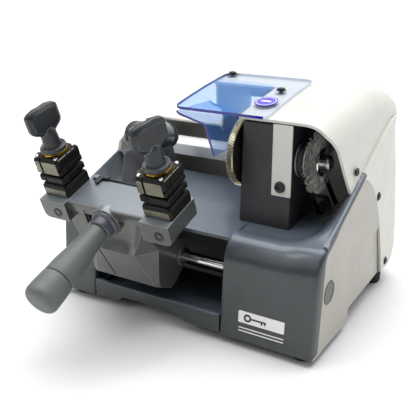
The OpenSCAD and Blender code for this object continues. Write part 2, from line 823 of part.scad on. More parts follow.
module rear_cover() {
    inner = concat([[ridge_end_y - 20, 300], [ridge_end_y - 20, under_z - 1], [263, under_z - 1], [276, 33]],
        [for (p = reversed(rear_curve)) [p[0] - skin - 0.4, p[1]]], [[180, 300]]);
    color("white")
    difference() {
        across(-half_w + 0.3, half_w - 0.3) rear_outline();
        // hollow
        across(-half_w + 0.3 + skin, half_w - 0.3 - skin) polygon(inner);
        // low left-hand part
        box(-half_w - 1, -hood_left_x - 0.3, ridge_end_y - 20, 300, left_top_z, 300);
        // ports for the mains inlet and the switch
        translate([-110, 255, 60]) cube([28, 70, 20], center = true);
        translate([-70, 255, 60]) cube([27.4, 70, 20], center = true);
        on_cover_sides() translate([0, 0, -12]) cylinder(h = 20, r = 1.7);
    }
    color("white") {
        // low top on the left, and the ledge over the beam
        box(-half_w + 2, -hood_left_x - 0.6, beam_y1 + 0.3, 245, left_top_z - skin, left_top_z);
    }
}

module cover_screws() {
    color([0.12, 0.12, 0.12]) on_cover_sides() socket_screw(4.2, 1.8, 1.6, 8);
}

port_y = 287.5;                 // face of the mains inlet and the switch
module mains_inlet() {
    color([0.1, 0.1, 0.1])
    difference() {
        translate([-110, port_y - 15, 60]) cube([27.6, 30, 19.6], center = true);
        translate([-110, port_y - 3, 60]) cube([23, 20, 15], center = true);
    }
    color([0.1, 0.1, 0.1])
    for (x = [-7, 0, 7]) translate([x - 110, port_y - 9, 60]) cube([2, 10, 4], center = true);
}

module switch_frame() {
    color([0.1, 0.1, 0.1])
    difference() {
        translate([-70, port_y - 15, 60]) cube([27, 30, 19.6], center = true);
        translate([-70, port_y - 1, 60]) cube([22, 20, 14], center = true);
    }
}

module switch_rocker() {
    color([0.7, 0.1, 0.1])
    translate([-70, port_y - 4.5, 60]) rotate([0, 0, 6]) {
        cube([20, 7, 12.6], center = true);
        // pivot
        cylinder(h = 13.6, r = 2.4, center = true);
    }
}

module machine() {
    translate([0, -origin_y, 0]) children();
}

machine() base_casting();
machine() bottom_plate();
machine() rubber_feet();
machine() shaft_plugs();
machine() name_plate();
machine() chip_tray();
machine() carriage_shaft();
machine() carriage_bushes();
machine() carriage_casting();
machine() seat_screws();
machine() gauge_rod();
machine() handle_stud();
machine() handle_collar();
machine() handle_grip();
machine() handle_cap();
machine() left_lower_jaw();
machine() left_upper_jaw();
machine() left_clamp_stud();
machine() left_washer();
machine() left_wing_knob();
machine() left_jaw_pins();
machine() right_lower_jaw();
machine() right_upper_jaw();
machine() right_clamp_stud();
machine() right_washer();
machine() right_wing_knob();
machine() right_jaw_pins();
machine() tracer_tower();
machine() tracer_head();
machine() tracer_stylus();
machine() tracer_dial();
machine() tracer_clamp_screw();
machine() spindle_housing();
machine() front_strip();
machine() strip_screw();
machine() spindle_bearings();
machine() spindle();
machine() cutter();
machine() cutter_nut();
machine() brush_hub();
machine() brush_bristles();
machine() brush_nut();
machine() spindle_pulley();
machine() drive_belt();
machine() motor();
machine() motor_bracket();
machine() motor_shaft();
machine() motor_pulley();
machine() hood();
machine() visor();
machine() visor_screws();
machine() visor_badge();
machine() chip_guard();
machine() rear_cover();
machine() cover_screws();
machine() mains_inlet();
machine() switch_frame();
machine() switch_rocker();
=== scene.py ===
"""Looks of the key duplicating machine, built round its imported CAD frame.

Lengths are millimetres until a piece is made.
"""
import json
import math
import random

import bmesh
import bpy
from mathutils import Matrix, Vector


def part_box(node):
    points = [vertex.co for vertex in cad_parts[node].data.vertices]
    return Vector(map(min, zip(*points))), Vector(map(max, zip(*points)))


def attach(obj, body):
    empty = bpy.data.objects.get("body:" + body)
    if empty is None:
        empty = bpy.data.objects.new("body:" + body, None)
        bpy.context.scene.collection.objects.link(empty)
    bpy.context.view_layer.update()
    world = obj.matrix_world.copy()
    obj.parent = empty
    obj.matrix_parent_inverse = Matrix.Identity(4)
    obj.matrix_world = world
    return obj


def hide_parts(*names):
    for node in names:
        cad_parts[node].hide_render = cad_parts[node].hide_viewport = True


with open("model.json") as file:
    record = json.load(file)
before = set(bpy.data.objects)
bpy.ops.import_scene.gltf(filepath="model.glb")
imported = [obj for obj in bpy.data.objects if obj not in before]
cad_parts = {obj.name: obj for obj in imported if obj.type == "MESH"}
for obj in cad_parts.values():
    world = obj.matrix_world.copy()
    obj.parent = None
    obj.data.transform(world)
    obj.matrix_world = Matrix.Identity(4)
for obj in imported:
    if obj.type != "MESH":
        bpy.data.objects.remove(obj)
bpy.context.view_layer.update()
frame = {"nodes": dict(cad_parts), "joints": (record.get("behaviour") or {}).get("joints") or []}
rng = random.Random(7)
MM = 0.001

# ------------------------------------------------------------------ places
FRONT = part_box("base_casting")[0].y
MACHINE = Matrix.Translation((0, FRONT, 0)) @ Matrix.Scale(MM, 4)
REST = Matrix.Identity(4)
# stand a flat outline up: across the machine along X, or facing into it along Y
ACROSS = Matrix(((0, 0, 1, 0), (1, 0, 0, 0), (0, 1, 0, 0), (0, 0, 0, 1)))
INTO = Matrix(((1, 0, 0, 0), (0, 0, 1, 0), (0, 1, 0, 0), (0, 0, 0, 1)))


def centre(node):
    """Middle of a CAD node in machine millimetres."""
    lo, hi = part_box(node)
    mid = (lo + hi) / 2
    return Vector((mid.x, mid.y - FRONT, mid.z)) / MM


def span(node, axis):
    """Least and greatest machine millimetres of a CAD node along an axis."""
    start = FRONT if axis == 1 else 0
    return tuple((end[axis] - start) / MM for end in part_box(node))


def turn(degrees, axis):
    return Matrix.Rotation(math.radians(degrees), 4, axis)


def shift(x=0.0, y=0.0, z=0.0):
    return Matrix.Translation((x, y, z))


JOINTS = {j["name"]: j for j in frame["joints"]}
clamp_axis = JOINTS["right_clamp_turn"]["axis"]
dial_axis = JOINTS["tracer_dial_turn"]["axis"]
TILT = math.degrees(math.atan2(-clamp_axis[1], clamp_axis[2]))
FALL = math.degrees(math.atan2(-dial_axis[2], dial_axis[1]))
shaft_mid = centre("carriage_shaft")
spindle_mid = centre("spindle")
spindle_mid.x = 0
CARRIAGE = Matrix.Translation((0, shaft_mid.y, shaft_mid.z)) @ turn(TILT, "X")
HANDLE_AT, HANDLE_TURN = shift(-50, -50, 84), turn(95, "X")
HANDLE = CARRIAGE @ HANDLE_AT @ HANDLE_TURN
SPINDLE = Matrix.Translation(spindle_mid)
ALONG_X = turn(90, "Y")
CUTTER_X = span("cutter", 0)
STYLUS_X = centre("tracer_stylus").x
TRACER = Matrix.Translation((STYLUS_X, spindle_mid.y, spindle_mid.z)) @ turn(-90 - FALL, "X")
SEAT_H = 100
CLAMPS = {"right": (centre("right_jaw_pins").x, 70), "left": (centre("left_jaw_pins").x, 80)}


def on_clamp(side):
    return CARRIAGE @ shift(CLAMPS[side][0], -33, SEAT_H + 0.3)


# ------------------------------------------------------------------ outlines
def arc(cx, cy, r, a0, a1, n=8):
    steps = [math.radians(a0 + (a1 - a0) * i / n) for i in range(n + 1)]
    return [(cx + r * math.cos(a), cy + r * math.sin(a)) for a in steps]


def circle(r, n=48):
    return arc(0, 0, r, 0, 360 - 360 / n, n - 1)


def rounded(x0, x1, y0, y1, r, n=5):
    """Rectangle with round corners.

    r is one radius, or one for each corner from the lower left, turning left.
    """
    rs = [r] * 4 if not isinstance(r, (list, tuple)) else r
    out = []
    corners = (x0, y0, 1, 1, 180), (x1, y0, -1, 1, 270), (x1, y1, -1, -1, 0), (x0, y1, 1, -1, 90)
    for (cx, cy, sx, sy, a), q in zip(corners, rs):
        out += arc(cx + sx * q, cy + sy * q, q, a, a + 90, n) if q > 0 else [(cx, cy)]
    return out


def hexagon(r, n=36):
    out = []
    for i in range(n):
        a = 360 * i / n
        q = r * math.cos(math.radians(30)) / math.cos(math.radians(a % 60 - 30))
        out.append((q * math.cos(math.radians(a)), q * math.sin(math.radians(a))))
    return out


def bezier(points, n=12):
    """Curve of any order through its control points."""
    out = []
    for i in range(n + 1):
        t = i / n
        level = [Vector(p) for p in points]
        while len(level) > 1:
            level = [a.lerp(b, t) for a, b in zip(level, level[1:])]
        out.append(tuple(level[0]))
    return out


def lerp(a, b, t):
    return a + (b - a) * t


def table(x, rows):
    """Straight-line value at x from rows of (x, value)."""
    if x <= rows[0][0]:
        return rows[0][1]
    for (xa, va), (xb, vb) in zip(rows, rows[1:]):
        if x <= xb:
            return lerp(va, vb, (x - xa) / (xb - xa))
    return rows[-1][1]


def smooth(t):
    t = min(1, max(0, t))
    return t * t * (3 - 2 * t)


# ------------------------------------------------------------------ mesh tools
def new():
    return bmesh.new()


def loft(bm, rings, caps=True, looped=False, index=0):
    """Joins rings of points with quads. Caps close the ends; looped joins the last ring to the first."""
    rows = [[bm.verts.new(p) for p in ring] for ring in rings]
    pairs = list(zip(rows, rows[1:])) + ([(rows[-1], rows[0])] if looped else [])
    faces = []
    for a, b in pairs:
        n = len(a)
        for i in range(n):
            j = (i + 1) % n
            faces.append(bm.faces.new((a[i], a[j], b[j], b[i])))
    if caps and not looped:
        faces.append(bm.faces.new(rows[0][::-1]))
        faces.append(bm.faces.new(rows[-1]))
    for f in faces:
        f.material_index = index
    return rows


def flat(outline, z, m=REST):
    """A flat outline's points, lifted to z."""
    return [m @ Vector((x, y, z)) for x, y in outline]


def prism(bm, outline, z0, z1, m=REST, index=0):
    loft(bm, [flat(outline, z, m) for z in (z0, z1)], index=index)


def box(bm, x0, x1, y0, y1, z0, z1, m=REST):
    prism(bm, [(x0, y0), (x1, y0), (x1, y1), (x0, y1)], z0, z1, m)


def lathe(bm, profile, m=REST, n=48, ring=False, index=0):
    """Turns (radius, z) points round Z. A ring profile is closed on itself."""
    rings = [flat(circle(max(r, 0.01), n), z, m) for r, z in profile]
    loft(bm, rings, caps=not ring, looped=ring, index=index)


def rod(bm, r, z0, z1, m=REST, chamfer=0.4, n=40):
    c = min(chamfer, r * 0.4)
    lathe(bm, [(r - c, z0), (r, z0 + c), (r, z1 - c), (r - c, z1)], m, n)


def socket(bm, r, h, key, m=REST, shank=0.0):
    """Hexagon-socket head on the plane z = 0."""
    c = r * 0.12
    mouth = [(x * 1.12, y * 1.12) for x, y in circle(key, 36)]
    rings = [circle(r, 36), circle(r, 36), circle(r - c, 36), mouth, hexagon(key), hexagon(key)]
    zs = [0, h - c, h, h, h - 0.12 * r, h * 0.35]
    loft(bm, [flat(ring, z, m) for ring, z in zip(rings, zs)])
    if shank:
        rod(bm, r * 0.5, -shank, 0.2, m, n=20)


def tube(bm, path, r, n=8):
    """Round rod along a path of points."""
    rings = []
    for i, p in enumerate(path):
        a, b = Vector(path[max(i - 1, 0)]), Vector(path[min(i + 1, len(path) - 1)])
        d = (b - a).normalized()
        side = d.cross(Vector((0, 0, 1)) if abs(d.z) < 0.9 else Vector((1, 0, 0))).normalized()
        up = side.cross(d)
        rings.append([Vector(p) + side * x * r + up * y * r for x, y in circle(1, n)])
    loft(bm, rings)


def piece(name, bm, body, materials, nodes=(), place=REST, bevel=0.0, segments=3, angle=28,
          sharp=None, raw=False, thick=0.0, weld=True):
    """Makes the object: bevels its edges, rides it on its body and stands it for its CAD nodes."""
    if weld:
        bmesh.ops.remove_doubles(bm, verts=bm.verts, dist=1e-6 if raw else 1e-4)
    bmesh.ops.recalc_face_normals(bm, faces=bm.faces)
    if not raw:
        bm.transform(MACHINE @ place)
    mesh = bpy.data.meshes.new(name)
    bm.to_mesh(mesh)
    bm.free()
    obj = bpy.data.objects.new(name, mesh)
    bpy.context.scene.collection.objects.link(obj)
    for m in materials if isinstance(materials, (list, tuple)) else [materials]:
        mesh.materials.append(m)
    mesh.shade_smooth()
    if sharp is not None:
        mesh.set_sharp_from_angle(angle=math.radians(sharp))
    if thick:
        solid = obj.modifiers.new("thickness", "SOLIDIFY")
        solid.thickness, solid.offset, solid.use_even_offset = thick * MM, -1, True
    if bevel:
        edge = obj.modifiers.new("edges", "BEVEL")
        edge.width, edge.segments, edge.limit_method = bevel * MM, segments, "ANGLE"
        edge.angle_limit, edge.harden_normals, edge.miter_outer = math.radians(angle), True, "MITER_ARC"
    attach(obj, body)
    if nodes:
        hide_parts(*([nodes] if isinstance(nodes, str) else nodes))
    return obj


def turned(name, profile, body, material, nodes=(), place=REST, n=64, ring=False, sharp=38, m=REST):
    """A piece turned round one axis."""
    bm = new()
    lathe(bm, profile, m, n, ring)
    piece(name, bm, body, material, nodes, place=place, sharp=sharp)


def polish(node, body, material, bevel):
    """A CAD node's own shape with its edges rounded."""
    bm = new()
    bm.from_mesh(frame["nodes"][node].data)
    bmesh.ops.remove_doubles(bm, verts=bm.verts, dist=1e-6)
    bmesh.ops.dissolve_limit(bm, angle_limit=math.radians(1), verts=bm.verts, edges=bm.edges)
    piece(node + "_part", bm, body, material, node, bevel=bevel, segments=2, raw=True)


# ------------------------------------------------------------------ finishes
def tone(r, g, b):
    """A screen colour from 0 to 255 as a linear colour."""
    return tuple((c / 255 / 12.92 if c <= 10 else ((c / 255 + 0.055) / 1.055) ** 2.4) for c in (r, g,
        b)) + (1.0,)


def tune(node, values):
    """Sets a node's constant inputs."""
    for key, value in values.items():
        node.inputs[key].default_value = value


def remap(tree, source, low, high, to_low=0.0, to_high=1.0, shape="LINEAR"):
    """Maps a value from one range to another."""
    node = tree.nodes.new("ShaderNodeMapRange")
    node.interpolation_type = shape
    tune(node, {"From Min": low, "From Max": high, "To Min": to_low, "To Max": to_high})
    tree.links.new(source, node.inputs["Value"])
    return node.outputs["Result"]


def overlay(tree, share, under, over):
    """Lays the screen colour over another colour, or over what a socket gives, by a share."""
    node = tree.nodes.new("ShaderNodeMix")
    node.data_type = "RGBA"
    node.inputs[7].default_value = tone(*over)
    if isinstance(under, tuple):
        node.inputs[6].default_value = tone(*under)
    else:
        tree.links.new(under, node.inputs[6])
    tree.links.new(share, node.inputs["Factor"])
    return node.outputs[2]


def finish_of(name, dark, light, rough=(0.35, 0.5), metal=0.0, coat=0.0, patch=30, grain=900, depth=0.06,
              wear=None, worn=0.5, stretch=(1, 1, 1), specular=0.5, edge=0.0007, upper=None):
    """A material whose colour varies in soft patches, with fine grain, uneven gloss and lighter worn edges;
    where upper is given, faces that point up are painted lighter, a painted highlight.
    """
    mat = bpy.data.materials.new(name)
    mat.use_nodes = True
    tree = mat.node_tree
    nodes, links = tree.nodes, tree.links
    shader = nodes["Principled BSDF"]
    tune(shader, {"Metallic": metal, "Coat Weight": coat, "Coat Roughness": 0.12, "IOR": 1.5,
                  "Specular IOR Level": specular})
    coord = nodes.new("ShaderNodeTexCoord")
    space = nodes.new("ShaderNodeMapping")
    space.inputs["Scale"].default_value = stretch
    links.new(coord.outputs["Object"], space.inputs["Vector"])

    def noise(scale, detail, low, high):
        tex = nodes.new("ShaderNodeTexNoise")
        tune(tex, {"Scale": scale, "Detail": detail})
        links.new(space.outputs["Vector"], tex.inputs["Vector"])
        return remap(tree, tex.outputs["Fac"], 0.3, 0.7, low, high)

    colour = overlay(tree, noise(patch, 4, 0, 1), dark, light)
    if upper:
        # painted highlight: faces that point up are painted towards the upper colour, standing in for the
        # light and sheen they catch
        facing = nodes.new("ShaderNodeNewGeometry")
        split = nodes.new("ShaderNodeSeparateXYZ")
        links.new(facing.outputs["Normal"], split.inputs["Vector"])
        rise = remap(tree, split.outputs["Z"], 0.3, 0.98, shape="SMOOTHSTEP")
        colour = overlay(tree, rise, colour, upper)
    if wear:
        bent = nodes.new("ShaderNodeBevel")
        bent.samples = 4
        bent.inputs["Radius"].default_value = edge
        level = nodes.new("ShaderNodeNewGeometry")
        dot = nodes.new("ShaderNodeVectorMath")
        dot.operation = "DOT_PRODUCT"
        links.new(bent.outputs["Normal"], dot.inputs[0])
        links.new(level.outputs["Normal"], dot.inputs[1])
        scratch = nodes.new("ShaderNodeMath")
        scratch.operation = "MULTIPLY"
        links.new(remap(tree, dot.outputs["Value"], 0.995, 0.93), scratch.inputs[0])
        links.new(noise(patch * 6, 5, 0.2, worn * 2), scratch.inputs[1])
        colour = overlay(tree, scratch.outputs["Value"], colour, wear)
    links.new(colour, shader.inputs["Base Color"])
    links.new(noise(patch * 3, 3, *rough), shader.inputs["Roughness"])
    bump = nodes.new("ShaderNodeBump")
    tune(bump, {"Strength": depth, "Distance": 0.0004})
    links.new(noise(grain, 2, 0, 1), bump.inputs["Height"])
    links.new(bump.outputs["Normal"], shader.inputs["Normal"])
    return mat


# both greys take an upper colour: a painted sheen, faces that point up painted lighter and bluer for the
# bright backdrop they reflect
PAINT = finish_of("hammered_grey", (46, 51, 53), (54, 59, 62), (0.34, 0.46), metal=0.1, coat=0.5,
                  upper=(98, 108, 120), wear=(150, 156, 162), worn=0.25)
CARRIAGE_PAINT = finish_of("carriage_grey", (74, 76, 74), (85, 87, 84), (0.3, 0.42), metal=0.2, coat=0.4,
                           upper=(122, 129, 135), wear=(196, 198, 196), worn=0.4)
# painted sheen: the casting's own grey, painted lighter for the cheeks' outer side faces, standing in for the
# light and reflection falling on them
SHEEN_SIDE_GREY = finish_of("side_grey_painted_sheen", (166, 162, 153), (174, 170, 161), (0.4, 0.5), coat=0.1)
DARK = finish_of("dark_paint", (44, 44, 47), (54, 54, 57), (0.45, 0.6), wear=(110, 110, 112), worn=0.2)
WHITE = finish_of("cover_white", (204, 203, 196), (212, 211, 204), (0.38, 0.5), depth=0.09, coat=0.1)
# painted light: a brighter copy of the cover white for the ledge's top, standing in for the light falling on
# it
LIT_LEDGE_WHITE = finish_of("ledge_white_painted_light", (226, 228, 230), (236, 238, 240), (0.4, 0.5))
STEEL = finish_of("ground_steel", (150, 150, 146), (188, 188, 184), (0.18, 0.34), metal=1, grain=2500,
                  stretch=(0.2, 1, 1))
CHROME = finish_of("chrome", (205, 205, 206), (225, 225, 226), (0.06, 0.12), metal=1, grain=2500, depth=0.02)
BLACK_JAW = finish_of("blackened_steel", (13, 12, 11), (22, 20, 17), (0.36, 0.52), wear=(84, 76, 60),
                      worn=0.22, specular=0.22, edge=0.0004)
OLIVE_JAW = finish_of("worn_jaw_face", (98, 96, 82), (132, 130, 112), (0.32, 0.5), metal=0.45, patch=60,
                      wear=(170, 164, 148))
PIN = finish_of("pin_steel", (200, 200, 198), (228, 228, 226), (0.12, 0.2), metal=1)
CUTTER = finish_of("cutter_steel", (150, 142, 112), (196, 188, 156), (0.22, 0.36), metal=1, patch=120,
                   wear=(236, 232, 216), worn=0.7)
CUTTER_FACE = finish_of("cutter_face", (30, 28, 26), (42, 40, 37), (0.4, 0.55), metal=0.4)
BRASS = finish_of("brass", (176, 128, 34), (212, 166, 60), (0.16, 0.3), metal=1, grain=2000)
BRONZE = finish_of("bronze", (130, 96, 58), (150, 112, 70), (0.3, 0.45), metal=1)
COLLAR = finish_of("dark_collar", (84, 84, 92), (98, 98, 106), (0.32, 0.42), metal=0.4, wear=(150, 150, 156),
                   worn=0.3)
GRIP = finish_of("grip_plastic", (88, 95, 91), (97, 104, 99), (0.42, 0.55), grain=1400, depth=0.12,
                 wear=(190, 196, 192))
KNOB = finish_of("knob_plastic", (28, 31, 34), (36, 39, 43), (0.34, 0.46), grain=1400, depth=0.08,
                 wear=(130, 138, 144), worn=0.5,
                 edge=0.0012)
PLASTIC = finish_of("black_plastic", (14, 14, 15), (22, 22, 23), (0.35, 0.5))
SCREW = finish_of("black_screw", (16, 16, 17), (26, 26, 27), (0.3, 0.45), metal=0.15, wear=(80, 80, 80),
                  worn=0.3)
RUBBER = finish_of("rubber", (12, 12, 12), (22, 22, 21), (0.65, 0.8), grain=700, depth=0.15)
ALLOY = finish_of("cast_alloy", (138, 140, 142), (158, 160, 162), (0.4, 0.55), metal=0.6, grain=500,
                  depth=0.2)
GREY_PLUG = finish_of("plug_grey", (92, 92, 88), (102, 102, 98), (0.45, 0.55))
LABEL = finish_of("label_white", (232, 232, 230), (242, 242, 240), (0.3, 0.4), grain=1500, depth=0.02)
INK = finish_of("label_ink", (24, 24, 26), (32, 32, 34), (0.3, 0.4))
BADGE = finish_of("badge_violet", (66, 44, 190), (82, 60, 208), (0.25, 0.35), coat=0.4)
BELT = finish_of("belt_rubber", (16, 16, 16), (26, 26, 25), (0.6, 0.75), grain=600, depth=0.2)
ROCKER = finish_of("rocker_red", (150, 16, 16), (168, 22, 20), (0.3, 0.4))
WIRE = finish_of("brush_wire", (104, 106, 100), (190, 192, 184), (0.3, 0.45), metal=0.2, patch=400)
EDGE_BLUE = finish_of("visor_edge", (0, 6, 120), (4, 18, 168), (0.12, 0.2), coat=0.5)
EDGE_PALE = finish_of("visor_edge_lit", (214, 224, 240), (228, 236, 246), (0.12, 0.2), coat=0.5)


def clear_blue(name, tint, body, share):
    """Clear tinted sheet: light passes through coloured, and a little blue glows back from it."""
    mat = finish_of(name, body, tuple(min(255, c + 10) for c in body), (0.05, 0.09), coat=0.6, depth=0.01,
                    patch=12)
    nodes, links = mat.node_tree.nodes, mat.node_tree.links
    out, shader = nodes["Material Output"], nodes["Principled BSDF"]
    clear = nodes.new("ShaderNodeBsdfTransparent")
    clear.inputs["Color"].default_value = tone(*tint)
    weight = nodes.new("ShaderNodeLayerWeight")
    weight.inputs["Blend"].default_value = 0.25
    mix = nodes.new("ShaderNodeMixShader")
    glow = remap(mat.node_tree, weight.outputs["Fresnel"], 0, 1, share, min(1.0, share * 1.5))
    links.new(glow, mix.inputs["Fac"])
    links.new(clear.outputs["BSDF"], mix.inputs[1])
    links.new(shader.outputs["BSDF"], mix.inputs[2])
    links.new(mix.outputs["Shader"], out.inputs["Surface"])
    return mat


TOWER_PAINT = finish_of("tower_grey", (60, 62, 66), (70, 72, 77), (0.34, 0.46), metal=0.2, wear=(120, 124,
    130), worn=0.25)
VISOR = clear_blue("clear_blue_sheet", (243, 249, 254), (70, 146, 226), 0.24)
VISOR_PALE = clear_blue("clear_pale_sheet", (252, 253, 255), (190, 212, 240), 0.08)

# ------------------------------------------------------------------ base
HALF_W = span("base_casting", 0)[1]
BLOCK_R, BLOCK_L = 57.5, 115.5
FLOOR_GAP, UNDER = 9, 24
RIM_R = 5.0
DECK_RISE, RIDGE_RISE, FRONT_LEAN = 0.1, 0.51, 0.08
RIDGE_Y, RIDGE_Z = 19, 122
SKIN_Z = 92.5
FOOT_X = 147
END_Y = 112
RIM_END = 120.5
DECK_Y1 = 165


def deck(y):
    """Height of the sloping deck."""
    return 113 + DECK_RISE * (y - 20.5)


def ridge(y):
    """Height of a cheek's top edge."""
    return RIDGE_Z + RIDGE_RISE * (y - RIDGE_Y)


def block_profile(x, foot_x):
    """Side outline of a front block at distance x from the middle: front face, rolled lip, well and rim."""
    cheek = smooth((x - 118) / 38)
    out = [(FRONT_LEAN * (z - FLOOR_GAP), z) for z in (9, 10, 14, 22, 34, 48, 62, 76)]
    y1 = lerp(29, 23, cheek)
    z1 = top_height(x, y1, foot_x)
    slope = top_height(x, y1 + 1, foot_x) - z1
    start, end = Vector((FRONT_LEAN * (88 - FLOOR_GAP), 88)), Vector((y1, z1))
    pull = Vector((1, max(slope, 0))).normalized() * lerp(12.4, 7, cheek)
    out += bezier([start, start + Vector((FRONT_LEAN, 1)) * lerp(14.6, 18, cheek), end - pull, end], 14)
    ys = [lerp(y1, END_Y, (i / 30) ** 1.25) for i in range(1, 31)]
    out += [(y, top_height(x, y, foot_x)) for y in ys]
    return out


def top_height(x, y, foot_x):
    """Height of the upper surface: the deck, with the lip and the cheek rising round a well."""
    r = 16
    dx, dy = max(0.0, x - (foot_x - r)), max(0.0, 46 + r - y)
    out = math.hypot(dx, dy) - r
    if out <= 0:
        return deck(y)
    a = smooth(math.atan2(dx, dy) / (math.pi / 2))
    width = lerp(17, 30.5, a)
    f = min(1.0, out / width)
    soft = 0.32
    rise = f * f / (2 * soft) if f < soft else f - soft / 2
    rise /= 1 - soft / 2
    if a < 1:
        rise = lerp(smooth(f) * 0.6 + math.sin(f * math.pi / 2) * 0.4, rise, a)
    peak = lerp(117.5, ridge(y), a)
    return lerp(deck(y), peak, rise)


def block(bm, inner, foot_x, sign):
    """Closed front block with a rounded inner edge and a rounded outer rim."""
    def column(x, inset, sx):
        pts = block_profile(x, foot_x)
        moved = []
        for i, p in enumerate(pts):
            a, b = Vector(pts[max(i - 1, 0)]), Vector(pts[min(i + 1, len(pts) - 1)])
            d = (b - a).normalized()
            n = Vector((-d.y, d.x))
            r = inset(p) if callable(inset) else inset
            moved.append((p[0] - n.x * r, p[1] - n.y * r))
        moved += [(END_Y, 100), (94, 96), (94, 60), (94, FLOOR_GAP + 0.6), (60, FLOOR_GAP), (20, FLOOR_GAP)]
        return [Vector((sign * sx, y, z)) for y, z in moved]

    rings = []
    for i in range(6):
        a = math.radians(90 - 18 * i)
        rings.append(column(inner + 0.01, 3 * (1 - math.cos(a)), inner + 3 - 3 * math.sin(a)))
    x = inner + 3
    edge_x = HALF_W - RIM_R
    n = max(6, int((edge_x - x) / 3))
    rings += [column(lerp(x, edge_x, i / n), 0, lerp(x, edge_x, i / n)) for i in range(1, n + 1)]

    def corner(p):
        return lerp(12, RIM_R, smooth((p[1] - 95) / 30))

    for i in range(1, 8):
        a = math.radians(90 * i / 7)
        push = 1 - math.cos(a)
        rings.append(column(edge_x, lambda p, k=push: k * corner(p), edge_x + RIM_R * math.sin(a)))
    loft(bm, rings)
    return [(p.y, p.z) for p in rings[-1]][:-6]


BOUNDARY = bezier([(END_Y, ridge(END_Y)), (174, 162), (210, UNDER)], 16)
CREASE = [(181, SKIN_Z), (150, 80), (128, 69), (112, 55), (101, 46)]


def side_skin(bm, chain, sign):
    """Outer skin of a cheek, with the pressed-in field behind the leg leaning inward."""
    x1, x0, lean = HALF_W + 0.15, HALF_W - 4.5, 0.028
    inside = [(y, z) for y, z in chain if z > FLOOR_GAP + 1]
    upper = [p for p in BOUNDARY if p[1] > SKIN_Z]
    main = [(2.4, FLOOR_GAP + 0.4)] + inside + upper[1:] + CREASE + [(97, 30), (95.5, 16),
        (93, FLOOR_GAP + 0.4)]
    loft(bm, [[Vector((sign * x, y, z)) for y, z in main] for x in (x0, x1)])
    back = CREASE[:1] + [p for p in BOUNDARY if p[1] <= SKIN_Z] + [(99, UNDER), (97.5, 31)] + CREASE[:0:-1]
    loft(bm, [[Vector((sign * (x - lean * (y - 97) * (x > x0)), y, z)) for y, z in back] for x in (x0,
        x1 - 0.9)])


base = new()
right_chain = block(base, BLOCK_R, 129, 1)
left_chain = block(base, BLOCK_L, 137, -1)
ON_DECK = Matrix(((1, 0, 0, 0), (0, 1, 0, 0), (0, DECK_RISE, 1, deck(0)), (0, 0, 0, 1)))
for y0, y1, lap in ((52, DECK_Y1, 1), (20.5, 52.01, 0.05)):
    box(base, -BLOCK_L - lap, BLOCK_R + lap, y0, y1, -3.5, 0, ON_DECK)
for x0, x1, y1 in ((BLOCK_R, 104, DECK_Y1), (104, 122.6, 112), (122.6, 140, DECK_Y1), (-140, -BLOCK_L,
    DECK_Y1)):
    box(base, x0, x1, 110, y1, 105, 121.9)
box(base, -HALF_W + 4, HALF_W - 4, 100, 104, UNDER + 3.6, 118)
for s in (-1, 1):
    box(base, s * FOOT_X - 15, s * FOOT_X + 15, 3.5, 36, FLOOR_GAP, FLOOR_GAP + 4)
    # rising flank of each cheek under the covers
    flank = []
    for y in (111.5, 150):
        low, high = deck(y), min(ridge(y), 160) - 4
        flank.append([Vector((s * x, y, z)) for x, z in (
            (129, low - 6), (161.5, low - 6), (161.5, high), (156, high), (129, low))])
    loft(base, flank)
piece("base_shell", base, "base", PAINT, "base_casting", sharp=32)

# each cheek's outer skin takes the lighter side grey: painted sheen on the side faces
for s, chain, word in ((1, right_chain, "right"), (-1, left_chain, "left")):
    skin_mesh = new()
    side_skin(skin_mesh, chain, s)
    piece(word + "_side_skin", skin_mesh, "base", SHEEN_SIDE_GREY, sharp=30)

# the ledge, part of the rear cover's top, takes the brighter white: painted light
ledge = new()
prism(ledge, rounded(DECK_Y1 - 4, 200, 149, 164, 1.2), -HALF_W + 4.5, 39, ACROSS)
piece("rear_ledge", ledge, "base", LIT_LEDGE_WHITE, bevel=0.8)
legs = new()
for x in (-HALF_W + 5, -20):
    box(legs, x, x + 12, DECK_Y1 - 6.5, DECK_Y1 + 1, deck(150), 150)
piece("ledge_legs", legs, "base", PAINT, bevel=0.6)
polish("bottom_plate", "base", DARK, 0.6)

feet = new()
for s in (-1, 1):
    for y, h in ((20, FLOOR_GAP), (232, UNDER)):
        lathe(feet, [(10, 0), (11.3, 0.5), (11.8, 2), (12.6, h - 2.6), (13, h - 2), (13, h - 0.1)],
              shift(s * FOOT_X, y), 40)
        lathe(feet, [(4, 0.02), (4, 0.8), (3.6, 1)], shift(s * FOOT_X, y), 24)
piece("rubber_foot_set", feet, "base", RUBBER, "rubber_feet", sharp=35)

plugs = new()
for s in (-1, 1):
    m = shift(0, shaft_mid.y, shaft_mid.z) @ turn(90 * s, "Y")
    lathe(plugs, [(12.9, HALF_W - 5.9), (12.9, HALF_W + 0.4), (12.3, HALF_W + 1.0), (11.2, HALF_W + 1.0),
                  (10.8, HALF_W + 0.5),
                  (0.5, HALF_W + 0.5)], m, 56)
piece("shaft_plug_pair", plugs, "base", GREY_PLUG, "shaft_plugs", sharp=30)

